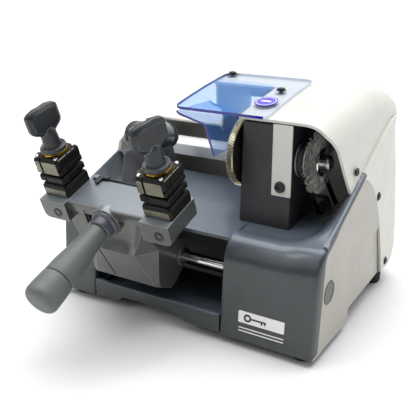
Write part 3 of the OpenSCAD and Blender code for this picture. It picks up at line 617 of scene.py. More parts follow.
PLATE_X, PLATE_Z = 107, 36.4
FACE = shift(PLATE_X, FRONT_LEAN * (PLATE_Z - FLOOR_GAP) - 0.03, PLATE_Z) \
    @ turn(90 - math.degrees(math.atan(FRONT_LEAN)), "X")
plate = new()
prism(plate, rounded(-26.5, 26.5, -6.5, 6.5, 1.2), 0, 1.2)
piece("blank_name_plate", plate, "base", LABEL, "name_plate", place=FACE, bevel=0.25, segments=2)
marks = new()
for x0, x1, y0, y1 in ((-13, 6, -0.9, 0.9), (0, 1.8, -3.4, -0.6), (3.6, 5.4, -2.8, -0.6)):
    prism(marks, rounded(x0, x1, y0, y1, 0.2), 1.1, 1.35)
lathe(marks, [(4.4, 1.1), (4.4, 1.35), (2.3, 1.35), (2.3, 1.1)], shift(-15.5, 0), 32, ring=True)
piece("key_mark", marks, "base", INK, place=FACE, sharp=30)
strip_marks = new()
for y in (-16.2, -12.6):
    prism(strip_marks, rounded(-26, 26, y - 0.6, y + 0.6, 0.4), -0.2, 0.25)
piece("plain_stripes", strip_marks, "base", LABEL, place=FACE, sharp=30)

tray = new()
tx0, tx1 = span("chip_tray", 0)
front_board = [(tx0, 9.5), (tx0 + 31, 9.5)]
front_board += bezier([(tx0 + 33, 9.7), (tx0 + 36, 12), (tx0 + 38, 16), (tx0 + 43, 16.5)], 5)
front_board += bezier([(tx1 - 55, 16.5), (tx1 - 50, 16), (tx1 - 47, 11), (tx1 - 41, 9.5)], 5)
front_board += [(tx1, 9.5), (tx1, 30), (tx0, 30)]
prism(tray, front_board, 0.6, 5.6, INTO)
outside = rounded(tx0 + 0.2, tx1 - 0.2, 5.4, 92, 1)
inside = rounded(tx0 + 2.6, tx1 - 2.6, 8, 89.5, 1)
loft(tray, [flat(outside, 17.2), flat(outside, 26), flat(inside, 26), flat(inside, 18.4)])
piece("chip_drawer", tray, "tray", PAINT, "chip_tray", bevel=0.7)

# ------------------------------------------------------------------ carriage
shaft = new()
rod(shaft, 6, -HALF_W + 6.2, HALF_W - 6.2, shift(0, shaft_mid.y, shaft_mid.z) @ ALONG_X, 0.8, 56)
piece("ground_shaft", shaft, "base", CHROME, "carriage_shaft", sharp=40)
polish("carriage_bushes", "slider", BRONZE, 0.3)

BACK = [(-20, -22), (-14, -12), (-12, -2), (-10, 6), (-4, 11), (4, 13), (13, 12), (23, 5), (28.5, -5),
        (30.5, -12), (33, -25), (78, -25),
        (88, -14)]
FRONT_V = [(-20, -34), (-6, -50), (-2, -53.4), (0, -54), (38, -54), (74, -53), (88, -53)]
RIGHT_EDGE = [(-20, -20), (-2, -13), (38, -31), (75, -9.5), (88, -8)]
LEFT_EDGE = [(-20, -92), (-2, -97), (38, -82), (56, -103), (88, -103)]
SIDE_V = [(-20, -33), (-6, -48), (2, -50), (38, -36), (62, -46), (88, -50)]
RECESS_L = [(38, -82), (60, -82), (88, -81)]
body = new()
rings = []
levels = [-20, -17, -12, -6, -2, 0, 10, 20, 30, 36, 38, 38.6, 40, 42, 45, 49, 54, 60, 66, 72, 78, 84, 88]
for w in levels:
    deep = 0.0 if w <= 38 else 13 * math.sin(min(1, (w - 38) / 22) * math.pi / 2)
    xl, xr = table(w, LEFT_EDGE), table(w, RIGHT_EDGE)
    rl = table(w, RECESS_L) if w > 38 else xl
    vf, vs, vb = table(w, FRONT_V), table(w, SIDE_V), table(w, BACK)
    corner, inner = min(vb - 2, max(vs, vf)), min(vb - 2.5, max(vs - 0.8, vf))
    ring = [(-104, vb), (-104, corner), (-103.4, inner)]
    ring += [(lerp(min(xl, rl), rl, t), vf) for t in (0, 0.5)]
    for i in range(17):
        s = i / 16
        ring.append((lerp(rl, xr, s), vf + deep * (1 - abs(2 * s - 1) ** 3.2)))
    ring += [(xr + 0.5, vf + 0.1)] if w > 38 else [(xr + 0.01, vf)]
    ring += [(-10.6, inner), (-10, corner), (-10, vb)]
    rings.append([Vector((x, v, w)) for x, v in ring])
loft(body, rings)
plate_outline = rounded(-56, -12, 87, 99.6, [1.5, 0.8, 0.8, 3.2])
prism(body, plate_outline, CLAMPS["left"][0] + 10, CLAMPS["right"][0] - 10, ACROSS)
for side in CLAMPS:
    x = CLAMPS[side][0]
    radii = [2, 7, 1, 1] if side == "right" else [7, 2, 1, 1]
    prism(body, rounded(x - 17.5, x + 17.5, 76, 100, radii), -62, -12, INTO)
# web from the left seat down to the body, and the ears of the gauge rod
loft(body, [[Vector((x, v, w)) for v, w in ((-50, low), (-25, low), (-25, 82), (-50, 82))]
            for x, low in ((-100, 36), (-104, 40), (-112, 75))])
for x in (-92, -8):
    prism(body, rounded(-15, -7, 86, SEAT_H + 2.5, [0.5, 0.5, 2.6, 2.6]), x - 3, x + 3, ACROSS)
# fairing of the handle's boss
lathe(body, [(7, -16), (12, -12), (15.4, -5), (16.6, -1), (17, 4.6), (16.6, 6.6), (15.4, 7.6), (6, 7.6)],
      HANDLE_AT @ HANDLE_TURN, 56)
# end rings round the shaft
for x0, x1 in ((-10.4, -8.6), (-105.2, -103.8)):
    lathe(body, [(6.4, x0), (11.2, x0), (11.2, x1 - 0.5), (10.6, x1), (6.4, x1)], ALONG_X, 48, ring=True)
piece("carriage_shell", body, "carriage", CARRIAGE_PAINT, "carriage_casting", place=CARRIAGE,
      bevel=0.9, angle=33)

ribs = new()
box(ribs, -79.5, -78, -56.3, -44, 62, 92)
box(ribs, -75.5, -74.4, -56.0, -44, 66, 92)
prism(ribs, [(-80, 36), (-78.6, 36), (-66.6, 2), (-68, 2)], -54.35, -53.6, INTO)
piece("carriage_slots", ribs, "carriage", PLASTIC, place=CARRIAGE, sharp=30)

seat_bolts = new()
for side in CLAMPS:
    m = shift(CLAMPS[side][0] + 4, -62, 86) @ turn(90, "X")
    lathe(seat_bolts, [(5.6, -1.2), (5.6, 0.35), (5.0, 0.6), (4.7, 0.2), (4.7, -1.2)], m, 36, ring=True)
    socket(seat_bolts, 4.4, 0.9, 2.3, m @ shift(0, 0, -0.6), shank=6)
piece("seat_bolt_pair", seat_bolts, "carriage", SCREW, "seat_screws", place=CARRIAGE, sharp=30)

gauge = new()
GAUGE = shift(0, -10, 99) @ ALONG_X
rod(gauge, 2, -97, -3, GAUGE, 0.5, 24)
for x in (-82, -18):
    rod(gauge, 3.6, x - 6, x + 6, GAUGE, 0.6, 32)
    prism(gauge, rounded(x - 6, x - 1, -21, -10, [1, 1, 0.2, 0.2]), 100.6, 102.5)
piece("gauge_bar", gauge, "gauge", SCREW, "gauge_rod", place=CARRIAGE, bevel=0.25, segments=2)

# ------------------------------------------------------------------ handle
part = new()
rod(part, 5, -10, 90, n=32)
piece("handle_spindle", part, "carriage", STEEL, "handle_stud", place=HANDLE, sharp=35)
collar = [(6, 8.1), (15.4, 8.1), (16, 8.7), (16, 10), (15.4, 10.8), (14.2, 11.2), (13.7, 11.8), (13.5, 13),
          (13.5, 19.4)]
collar += [(13.1, 20.6), (12.4, 21.2), (11.6, 21.4), (6, 21.4)]
turned("handle_ring", collar, "carriage", COLLAR, "handle_collar", HANDLE)
grip = [(6, 21.7), (10.6, 21.7), (11.2, 22.1), (11.5, 23)]
grip += [(11.5 + 4.3 * smooth((z - 23) / 62) ** 1.15 + 0.8 * (z - 23) / 65, z) for z in range(26, 88, 3)]
grip += [(16.6, 88.2), (16.3, 88.9), (15.4, 89.1), (6, 89.1)]
turned("handle_sleeve", grip, "carriage", GRIP, "handle_grip", HANDLE)
cap = [(6, 90.0), (15.6, 90.0), (16.5, 90.3), (17.0, 91.1)]
cap += [(17.0 + 1.0 * math.sin(t * math.pi / 2), 91.1 + 22 * t) for t in (0.2, 0.4, 0.6, 0.8, 1)]
cap += arc(18 - 7, 121 - 7.2, 7, 4, 84, 10)
cap += [(8, 121.3), (4, 121.5), (0.5, 121.5)]
turned("handle_end", cap, "carriage", GRIP, "handle_cap", HANDLE)
part = new()
rod(part, 15.2, 88.6, 90.6, n=56)
piece("handle_joint", part, "carriage", PLASTIC, place=HANDLE, sharp=38)


# ------------------------------------------------------------------ clamps
def four_sided(w, d, c, slot=0.0, at=-6.5, width=1.6):
    """Outline of a jaw: a rectangle with cut corners and one narrow upright slot in each face."""
    out = []
    for k in range(4):
        a, b = (w / 2, d / 2) if k % 2 == 0 else (d / 2, w / 2)
        face = [(-a + c, -b)]
        if slot:
            face += [(at - width / 2, -b), (at - width / 2, -b + slot), (at + width / 2, -b + slot),
                     (at + width / 2, -b)]
        face.append((a - c, -b))
        ca, sa = ((1, 0), (0, 1), (-1, 0), (0, -1))[k]
        out += [(x * ca - y * sa, x * sa + y * ca) for x, y in face]
    return out


def jaw_stack(bm, rows, c=2, slot=0.0, width=1.6, z0=0.0):
    """Four-sided blocks of (width, depth, height) joined upwards."""
    loft(bm, [flat(four_sided(w, d, c, slot, -7, width), z + z0) for w, d, z in rows])


for side in CLAMPS:
    place = on_clamp(side)
    low = new()
    lathe(low, [(8.6, -18), (9, -17.4), (9, 1)], n=40)
    loft(low, [flat(four_sided(w, d, c), z) for w, d, c, z in (
        (34.4, 37.4, 2, 0.05), (35, 38, 2, 0.7), (35, 38, 2, 10.6), (32, 35, 2.6, 13.4))])
    prism(low, four_sided(28.5, 31.5, 2), 12.9, 17.2)
    jaw_stack(low, ((33, 35, 16.8), (35, 37, 17.8), (35, 37, 22.6), (33.4, 35.4, 24)), slot=1.2, width=1.4)
    piece(side + "_jaw_block", low, side + "_clamp", BLACK_JAW, side + "_lower_jaw", place=place,
          bevel=0.35, segments=2)
    shelf = new()
    for k in (0, 2):
        m = turn(90 * k, "Z")
        # tapered ground shelf on the front and the back
        loft(shelf, [flat([(-14.6, -17), (14.6, -17), (14.6, -19.05 - out), (-14.6, -19.05 - out)], z, m)
                     for z, out in ((0.9, 0.0), (1.5, 0.35), (7.6, 0.35), (8.4, 0.0))])
    piece(side + "_jaw_shelf", shelf, side + "_clamp", OLIVE_JAW, place=place, bevel=0.3,
          segments=2)
    stud = new()
    rod(stud, 4, -17, 63, n=32)
    piece(side + "_stud_rod", stud, side + "_clamp", STEEL, side + "_clamp_stud", place=place,
          sharp=35)

    up = new()
    base_z = 27
    jaw_stack(up, ((33.4, 35.4, 0), (35, 37, 0.9), (35, 37, 5.2), (34, 36, 6)), slot=1.2, z0=base_z)
    prism(up, four_sided(31.6, 33.6, 2), base_z + 5.5, base_z + 8)
    jaw_stack(up, ((34, 36, 7.2), (35, 37, 8), (35, 37, 15.8), (30.6, 32.6, 19)), 2.2, 1.3, z0=base_z)
    piece(side + "_jaw_cap", up, side + "_jaw", BLACK_JAW, side + "_upper_jaw", place=place,
          bevel=0.3, segments=2)
    pads = new()
    for k in (0, 2):
        m = turn(90 * k, "Z") @ shift(0, -18.5, base_z) @ turn(90, "X")
        for x0, x1 in ((-14.6, -8.6), (-5.6, 14.4)):
            prism(pads, rounded(x0, x1, 1.2, 15.2, 0.7), -0.3, 0.3, m)
    # ground bevels on the two flanks
    for k in (1, 3):
        m = turn(90 * k, "Z") @ shift(0, -16.7, base_z + 17.6) @ turn(38, "X")
        for x0, x1 in ((-15.4, -3.2), (-1.2, 4.6), (6.4, 10.4)):
            prism(pads, [(x0, -0.5), (x1, -0.5), (x1, 0.25), (x0, 0.25)], -1.7, 1.7, m)
    piece(side + "_jaw_pads", pads, side + "_jaw", OLIVE_JAW, place=place, bevel=0.25,
          segments=2)
    pins = new()
    for sx in (-1, 1):
        for sy in (-1, 1):
            lathe(pins, [(2, 40), (2, 46.7), (1.7, 47.3), (1.0, 47.6)], shift(sx * 13, sy * 14), 24)
    piece(side + "_pin_set", pins, side + "_jaw", PIN, side + "_jaw_pins", place=place, sharp=40)
    turned(side + "_brass_ring", [(4.3, 46.1), (13.8, 46.1), (14.3, 46.6), (14.3, 48.2), (13.9, 48.7),
                                  (4.3, 48.7)],
           side + "_jaw", BRASS, side + "_washer", place, ring=True, sharp=32)

    knob = new()
    lathe(knob, [(4.05, 0), (13.6, 0), (14.2, 0.7), (14.2, 2.8), (13.8, 3.8), (12.9, 4.5), (12.2, 4.4),
                 (11.7, 3.7), (10.6, 3.5), (9.9, 4.4),
                 (9.5, 7), (9.0, 13), (8.6, 19), (7.8, 23), (5.6, 26.2), (2.5, 27.4), (0.5, 27.6)], n=56)
    half = [(7.6, 18.4), (12.2, 21.2)] + bezier([(16.2, 23.6), (19.4, 25.6), (19.8, 30)], 3) + [(19.8, 40)] \
        + bezier([(19.6, 44.4), (18.6, 46.6), (15, 48)], 3) + [(8, 49.6), (0.3, 49.1)]
    outline = half + [(-x, z) for x, z in reversed(half)]
    middle = Vector((0, 34.5))

    def paddle(inset, depth, shape=outline, mid=middle):
        """Outline of the knob's paddle, drawn in by inset."""
        pts = []
        for x, z in shape:
            v = Vector((x, z)) - mid
            pts.append(Vector((mid.x + v.x * (1 - inset / 19), depth, mid.y + v.y * (1 - inset / 15.5))))
        return pts

    steps = [(4.4, -6.0), (4.0, -5.92), (0.9, -3.3), (0.4, -2.8), (0, -2.0), (0, 2.0), (0.4, 2.8), (0.9, 3.3),
             (4.0, 5.92), (4.4, 6.0)]
    loft(knob, [paddle(i, d) for i, d in steps])
    piece(side + "_knob", knob, side + "_knob", KNOB, side + "_wing_knob",
          place=place @ shift(0, 0, 48.9) @ turn(CLAMPS[side][1], "Z"), sharp=26)

# ------------------------------------------------------------------ tracer
tower = new()
TOWER_Y = 84
levels = []
for z, w, d, r in ((deck(TOWER_Y) - 3.3, 46, 68, 3), (124, 44.6, 66.8, 3), (160, 36.6, 60.6, 3.5),
                   (172, 34, 58.6, 4), (176, 31.6, 56.4, 5), (177, 28, 53, 5)):
    level = []
    for x, y in rounded(-w / 2, w / 2, -d / 2, d / 2, r):
        # the lowest level follows the deck
        lift = deck(TOWER_Y + y) - deck(TOWER_Y) + 3.35 if z < 117 else 0
        level.append(Vector((STYLUS_X + x, TOWER_Y + y + lift, z)))
    levels.append(level)
loft(tower, levels)
piece("tracer_pillar", tower, "base", TOWER_PAINT, "tracer_tower", sharp=32)
sleeve = [(11, -25), (16.4, -25), (17.3, -24.4), (17.5, -23.4), (17.5, 29.4), (17.1, 30.5), (16.2, 31),
          (11, 31)]
turned("tracer_sleeve", sleeve, "base", CARRIAGE_PAINT, (), TRACER, 56, True, 35)
head = [(4.1, -28), (9.6, -28), (10.7, -27.4), (11, -26.4), (11, 33.6), (4.1, 33.6)]
turned("tracer_tube", head, "base", ALLOY, "tracer_head", TRACER, 48, True, 35)
tip = new()
rod(tip, 4, -30.5, 39, n=32)
box(tip, -3.5, 3.5, -6, 6, -38.7, -29.7)
piece("stylus_tip", tip, "stylus", SCREW, "tracer_stylus", place=TRACER, bevel=0.5)
dial = new()
dial_rings = []
for z, r in ((34.4, 14.4), (35.0, 15.3), (42.6, 15.3), (43.4, 14.2)):
    pts = []
    for i in range(96):
        a = 2 * math.pi * i / 96
        q = r - (0.55 if i % 2 and 34.8 < z < 43 else 0)
        pts.append(Vector((q * math.cos(a), q * math.sin(a), z)))
    dial_rings.append(pts)
dial_rings += [flat(circle(9, 96), 43.4), flat(circle(8.6, 96), 42.4)]
loft(dial, dial_rings)
box(dial, -0.5, 0.5, 9.5, 13, 43.2, 43.6)
piece("tracer_ring", dial, "dial", PLASTIC, "tracer_dial", place=TRACER, sharp=40)
screw = new()
socket(screw, 4.5, 3, 2.3, turn(90, "X") @ shift(0, 0, 17.6), shank=5)
piece("tracer_lock", screw, "base", SCREW, "tracer_clamp_screw", place=TRACER, sharp=30)

# ------------------------------------------------------------------ spindle
housing = new()
HX0, HX1, HY0, HY1, HZ = 49, 106, 62, 128, 229
foot = []
for z, grow in ((deck(62) - 2.5, 0.0), (deck(62) + 1, 0.0), (HZ - 1, 1.0), (HZ, 1.0)):
    x0 = lerp(HX0 - 3, HX0, grow)
    c = 1.0 if z >= HZ else 0.0
    outline = rounded(x0 + c, HX1 - c, HY0 + c, HY1 - c, 1.6 - 0.6 * c)
    foot.append([Vector((x, y, z + (DECK_RISE * (y - HY0) if z < 130 else 0))) for x, y in outline])
loft(housing, foot)
piece("spindle_block", housing, "base", DARK, "spindle_housing", sharp=32)
part = new()
prism(part, rounded(85, 107, 154, 230, 0.6, 2), HY0 - 2.1, HY0 - 0.1, INTO)
piece("guard_strip", part, "base", WHITE, "front_strip", bevel=0.3, segments=2)
part = new()
m = shift(95, HY0 - 2.15, 164) @ turn(90, "X")
socket(part, 5.5, 3.4, 2.9, m)
lathe(part, [(5.4, -0.02), (6.2, -0.02), (6.1, 0.4), (5.4, 0.5)], m, 40, ring=True)
piece("guard_screw", part, "base", SCREW, "strip_screw", sharp=30)
polish("spindle_bearings", "base", STEEL, 0.3)
part = new()
rod(part, 8, 30.5, 141, ALONG_X, 1.0, 48)
lathe(part, [(3, 140.9), (3, 141.0), (2.2, 140.2)], ALONG_X, 24)
piece("spindle_shaft", part, "spindle", STEEL, "spindle", place=SPINDLE, sharp=35)

cutter = new()
TEETH, R = 90, 39.0
cx0, cx1 = CUTTER_X


def tooth_ring(x, r, lean):
    pts = []
    for i in range(TEETH):
        for da, dr in ((0, 0), (0.22, -0.05), (0.30, -1.9), (0.55, -1.95), (0.92, -0.5)):
            a = 2 * math.pi * (i + da) / TEETH + lean
            q = r + dr
            pts.append(Vector((x, q * math.cos(a), q * math.sin(a))))
    return pts


def plain_ring(x, r):
    angles = [2 * math.pi * i / (TEETH * 5) for i in range(TEETH * 5)]
    return [Vector((x, r * math.cos(a), r * math.sin(a))) for a in angles]


def hex_nut(bm, rows):
    """Hexagon nut along X from rows of (radius, x)."""
    loft(bm, [flat(hexagon(r), x, ALONG_X) for r, x in rows])


loft(cutter, [plain_ring(cx1 - 1.4, 12.0), plain_ring(cx1 - 1.4, 32.0), plain_ring(cx1, 33.2), plain_ring(cx1,
    36.0),
              tooth_ring(cx1, R - 0.35, 0.03), tooth_ring(cx1 - 0.4, R, 0.028), tooth_ring(cx0 + 0.4, R,
                  -0.028),
              tooth_ring(cx0, R - 0.35, -0.03), plain_ring(cx0, 35.4), plain_ring(cx0 + 0.5, 33.8),
              plain_ring(cx0 + 0.5, 12.0)])
for f in cutter.faces:
    mid = f.calc_center_median()
    if math.hypot(mid.y, mid.z) < 35.2:
        f.material_index = 1
piece("toothed_cutter", cutter, "spindle", [CUTTER, CUTTER_FACE], "cutter", place=SPINDLE,
      sharp=22)
part = new()
rod(part, 15, cx0 - 2.6, cx0 - 0.1, ALONG_X, 0.5, 48)
hex_nut(part, ((11.6, cx0 - 7.6), (12.9, cx0 - 7.0), (12.9, cx0 - 3.0), (12.6, cx0 - 2.5)))
piece("cutter_lock", part, "spindle", STEEL, "cutter_nut", place=SPINDLE, sharp=28)

BRUSH_X = centre("brush_bristles").x
flange = [(8.05, -5), (14.2, -5), (15, -4.4), (15, -2.4), (12.5, 0), (15, 2.4), (15.4, 3.4), (14.9, 4.6),
          (13.6, 5)]
turned("brush_flange", [(r, BRUSH_X + x) for r, x in flange + [(8.05, 5)]], "spindle", CHROME,
       "brush_hub",
       SPINDLE, ring=True, sharp=40, m=ALONG_X)
brush = new()
WIRES = 760
for i in range(WIRES):
    a = 2 * math.pi * i / WIRES + rng.uniform(-0.01, 0.01)
    lane = rng.uniform(-1, 1)
    length = rng.uniform(29.5, 33.8)
    bend, x_end = rng.uniform(-0.10, 0.10), lane * rng.uniform(4.4, 6.6)
    path = []
    for t in (0, 0.35, 0.7, 1):
        q, b = lerp(11.5, length, t), a + bend * t * t
        path.append((BRUSH_X + lerp(lane * 1.8, x_end, t ** 0.8) + 0.35 * math.sin(9 * t + i),
                     q * math.cos(b), q * math.sin(b)))
    tube(brush, path, 0.27, 5)
piece("wire_bristles", brush, "spindle", WIRE, "brush_bristles", place=SPINDLE, sharp=60, weld=False)
part = new()
hex_nut(part, ((9.0, BRUSH_X + 5.1), (9.0, BRUSH_X + 9.6), (8.0, BRUSH_X + 11.0)))
piece("brush_lock", part, "spindle", SCREW, "brush_nut", place=SPINDLE, sharp=28)
polish("spindle_pulley", "spindle", ALLOY, 0.3)
polish("motor_pulley", "motor_rotor", ALLOY, 0.3)
polish("drive_belt", "base", BELT, 0.2)
polish("motor", "base", DARK, 1.5)
polish("motor_bracket", "base", ALLOY, 0.8)
polish("motor_shaft", "motor_rotor", STEEL, 0.4)

# ------------------------------------------------------------------ covers
HOOD_X0, HOOD_X1, SHOULDER_X = -38.0, 162.0, 118.0
FOOT_REAR, REAR_Y = 217.5, 240


def crown(y):
    if y < 190:
        return 256 - 22 * ((190 - y) / 130) ** 1.35
    return 256 - 36 * (1 - max(0.0, 1 - ((y - 190) / 50) ** 3) ** (1 / 3))


def hood_foot(y):
    return ridge(y) + 0.4 if y < 206 else FOOT_REAR


def hood_point(s, y):
    """Point of the hood at s from 0, its left edge, to 1, its right foot."""
    z = crown(y)
    wide = lerp(36.0, HOOD_X1 - SHOULDER_X, min(1, (y - 60) / 145))
    high = min(36.0, z - hood_foot(y) - 0.5)
    if s <= 0.5:
        return Vector((HOOD_X0 + (SHOULDER_X - HOOD_X0) * s / 0.5, y, z))
    if s <= 0.85:
        a = (s - 0.5) / 0.35 * math.pi / 2
        p = 2 / 2.15
        rise = high * math.cos(a) ** p if a < math.pi / 2 - 1e-6 else 0
        return Vector((SHOULDER_X + wide * math.sin(a) ** p, y, z - high + rise))
    t = (s - 0.85) / 0.15
    return Vector((lerp(SHOULDER_X + wide, HOOD_X1, t), y, lerp(z - high, hood_foot(y), t)))


SWEEP = [(150, 97), (159, 91), (175, 83.2), (197, 75), (214, 66), (224, 60)]


def front_limit(s):
    """Front edge of the hood: straight on top, swept back down the right wall."""
    y = 60.0
    for _ in range(12):
        y = lerp(y, table(hood_point(s, y).z, SWEEP), 0.6)
    return y


WINDOW_X, WINDOW_Y = 45.0, 147.0
hood = new()
columns = [0.5 * (i / 20) for i in range(20)] + [0.5 + 0.35 * (i / 14) for i in range(15)]
columns += [0.85 + 0.15 * (i / 6) for i in range(1, 7)]
win_s = 0.5 * (WINDOW_X - HOOD_X0) / (SHOULDER_X - HOOD_X0)
columns = sorted(set([c for c in columns if abs(c - win_s) > 0.012] + [win_s]))
grid_rows = []
for s in columns:
    y0 = front_limit(s)
    ys = [lerp(y0, WINDOW_Y, (i / 20)) for i in range(21)] + [lerp(WINDOW_Y, 190, i / 8) for i in range(1,
        9)] \
        + [190 + 50 * math.sin(math.pi / 2 * i / 16) for i in range(1, 17)]
    grid_rows.append([hood.verts.new(hood_point(s, y)) for y in ys])
for i in range(len(columns) - 1):
    for j in range(len(grid_rows[0]) - 1):
        if columns[i + 1] <= win_s + 1e-6 and j < 20:
            continue
        hood.faces.new((grid_rows[i][j], grid_rows[i + 1][j], grid_rows[i + 1][j + 1], grid_rows[i][j + 1]))
loose = [v for v in hood.verts if not v.link_faces]
bmesh.ops.delete(hood, geom=loose, context="VERTS")
for v in hood.verts:
    # plan corner at the rear right
    r = 13
    ex, ey = v.co.x - (HOOD_X1 - r), v.co.y - (REAR_Y - r)
    if ex > 0 and ey > 0:
        q = max(ex, ey)
        d = math.hypot(ex, ey)
        v.co.x, v.co.y = HOOD_X1 - r + ex * q / d, REAR_Y - r + ey * q / d
hood_obj = piece("hood_shell", hood, "base", [WHITE, DARK], "hood", thick=3, bevel=0.9,
                 angle=50)
# painted shade: the inner face the thickness makes takes the dark paint, standing in for the shade under the
# white hood
hood_obj.modifiers["thickness"].material_offset = 1

wall = new()
outline = [(166, 187)] + arc(150, 204, 16, -60, 85, 10)[1:]
outline += [(y, crown(y) - 2.2) for y in (150, 160, 170, 180, 190, 200, 210, 218, 225)]
outline += [(236, 225), (238, 215), (238, 187)]
prism(wall, outline, HOOD_X0 + 0.1, HOOD_X0 + 3, ACROSS)
piece("hood_left_wall", wall, "base", WHITE, bevel=0.6)

REAR = bezier([(235, 219), (272, 130), (285, 45)], 14)


def rear_shell():
    """Levels of the rear cover's outer skin, wrapped round with plan corners: (z, half outline)."""
    x1, r = HALF_W - 0.3, 30
    levels = [(UNDER, 266.0), (26, 272.0), (29, 277.0), (32, 280.0)] + [(z, y) for y, z in reversed(REAR)]
    rows = []
    for z, yr in levels:
        yb = 0.0
        # where the white begins at this height
        best = [(p, q) for p, q in zip(BOUNDARY, BOUNDARY[1:]) if min(p[1], q[1]) <= z <= max(p[1], q[1])]
        if best:
            p, q = best[0]
            t = (z - p[1]) / (q[1] - p[1]) if abs(q[1] - p[1]) > 1e-6 else 0
            yb = lerp(p[0], q[0], t) + 0.6
        else:
            yb = (z - RIDGE_Z) / RIDGE_RISE + RIDGE_Y + 0.6
        rr = min(r, yr - yb - 4)
        half = [(x1, lerp(yb, yr - rr, i / 10)) for i in range(11)]
        bend = [math.pi / 2 * i / 8 for i in range(1, 9)]
        half += [(x1 - rr + rr * math.cos(a), yr - rr + rr * math.sin(a)) for a in bend]
        half += [(lerp(x1 - rr, 0, i / 8), yr) for i in range(1, 9)]
        rows.append((z, half))
    return rows


cover = new()
rows = rear_shell()
for s in (1, -1):
    made = []
    for z, half in rows:
        if s < 0 and z > 186:
            continue
        made.append([cover.verts.new((s * x, y, z)) for x, y in half])
    for a, b in zip(made, made[1:]):
        for i in range(len(a) - 1):
            cover.faces.new((a[i], a[i + 1], b[i + 1], b[i]))
piece("rear_shell", cover, "base", WHITE, "rear_cover", thick=3, bevel=0.8, angle=45)
top = new()
prism(top, rounded(-HALF_W + 3, -38.6, 200.4, 246, [1, 1, 1, 14]), 183, 186.0)
piece("cover_shelf", top, "base", WHITE, bevel=0.8)


def ridge_strip(name, ys, profile, material, sharp):
    """Strip along the right cheek's ridge; profile(i) gives (x past the cheek, z above the ridge)."""
    bm = new()
    loft(bm, [[Vector((HALF_W + x, y, ridge(y) + z)) for x, z in profile(i)] for i, y in enumerate(ys)])
    piece(name, bm, "base", material, sharp=sharp)


def bar_profile(i):
    k = min(1.0, i / 6)
    return ((-0.8, -5), (0.1 + 0.3 * k, -4.2), (0.1 + 0.5 * k, -2.4), (-0.3 + 0.4 * k, -0.9), (-1.6, 0.5 * k),
            (-4.4, 0.7 * k), (-5.2, 0.1), (-5.2, -5))


def rim_profile(_):
    return (-0.6, -5), (0.5, -4.4), (0.9, -2.2), (0.4, -0.2), (-1.2, 1.1), (-4.6, 1.3), (-5.4, 0.6), (-5.4,
        -5)


ridge_strip("cheek_rim_bar", [24 + (RIM_END - 24) * (i / 30) for i in range(31)], bar_profile, PAINT,
            38)
ridge_strip("cover_rim", [RIM_END + 0.8 + (205 - RIM_END - 0.8) * i / 24 for i in range(25)], rim_profile,
            WHITE,
            30)

part = new()
for s in (-1, 1):
    for y, z in ((173, 134), (225, 34)):
        m = shift(s * (HALF_W - 0.4), y, z) @ turn(90 * s, "Y")
        socket(part, 4.2, 1.85, 2.1, m, shank=5)
        lathe(part, [(4.3, 0), (5.6, 0), (5.3, 0.5), (4.3, 0.6)], m, 36, ring=True)
socket(part, 4.4, 1.6, 2.2, shift(HOOD_X1 - 0.3, 103, 180) @ ALONG_X, shank=3)
piece("cover_screw_set", part, "base", SCREW, "cover_screws", sharp=30)

LIFT = 0.15
visor = new()
vx0, vx1, vy0, vy1 = -36.0, 78.0, 58.0, 178.0


def visor_z(y):
    return crown(y) + LIFT


def corner_cut(r, depth):
    """How far a round corner of radius r draws the side in, at a depth from the edge."""
    return r - math.sqrt(max(0, r * r - (r - depth) ** 2)) if depth < r else 0


nx, ny = 30, 44
top_rows, low_rows = [], []
for j in range(ny + 1):
    y = lerp(vy0, vy1, j / ny)
    back = corner_cut(10, vy1 - y)
    left = vx0 + corner_cut(8, y - vy0) + back
    right = vx1 - corner_cut(4, y - vy0) - back
    xs = [lerp(left, right, i / nx) for i in range(nx + 1)]
    top_rows.append([visor.verts.new((x, y, visor_z(y) + 3)) for x in xs])
    low_rows.append([visor.verts.new((x, y, visor_z(y))) for x in xs])
for rows in (top_rows, low_rows):
    for a, b in zip(rows, rows[1:]):
        for i in range(nx):
            sheet = visor.faces.new((a[i], a[i + 1], b[i + 1], b[i]))
            mid = sheet.calc_center_median()
            sheet.material_index = 2 if mid.x > WINDOW_X or mid.y > WINDOW_Y else 0
for a, b, edge in ((top_rows[0], low_rows[0], 1), (top_rows[-1], low_rows[-1], 3)):
    for i in range(nx):
        visor.faces.new((a[i], a[i + 1], b[i + 1], b[i])).material_index = edge
for k, edge in ((0, 1), (nx, 3)):
    for j in range(ny):
        side = visor.faces.new((top_rows[j][k], top_rows[j + 1][k], low_rows[j + 1][k], low_rows[j][k]))
        side.material_index = edge
piece("clear_visor", visor, "base", [VISOR, EDGE_BLUE, VISOR_PALE, EDGE_PALE], "visor",
      sharp=30)

part = new()
for x, y in ((-27, 172), (59, 130)):
    socket(part, 4.5, 2.5, 2.2, shift(x, y, crown(y) + 3 + 0.5), shank=4)
    lathe(part, [(4.4, 0), (6, 0), (5.9, 0.5), (4.4, 0.6)], shift(x, y, crown(y) + 3.2), 36, ring=True)
piece("visor_screw_pair", part, "base", SCREW, "visor_screws", sharp=30)
part = new()
m = shift(59, 94, crown(94) + 3.35) @ turn(11.6, "X")
rod(part, 13, 0, 0.6, m, 0.2, 56)
lathe(part, [(10.6, 0.55), (11.4, 0.55), (11.4, 0.72), (10.6, 0.72)], m, 56, ring=True, index=1)
prism(part, rounded(-6, 6, -1.6, 1.6, 1.5), 0.55, 0.72, m, 1)
piece("round_badge", part, "base", [BADGE, LABEL], "visor_badge", sharp=30)

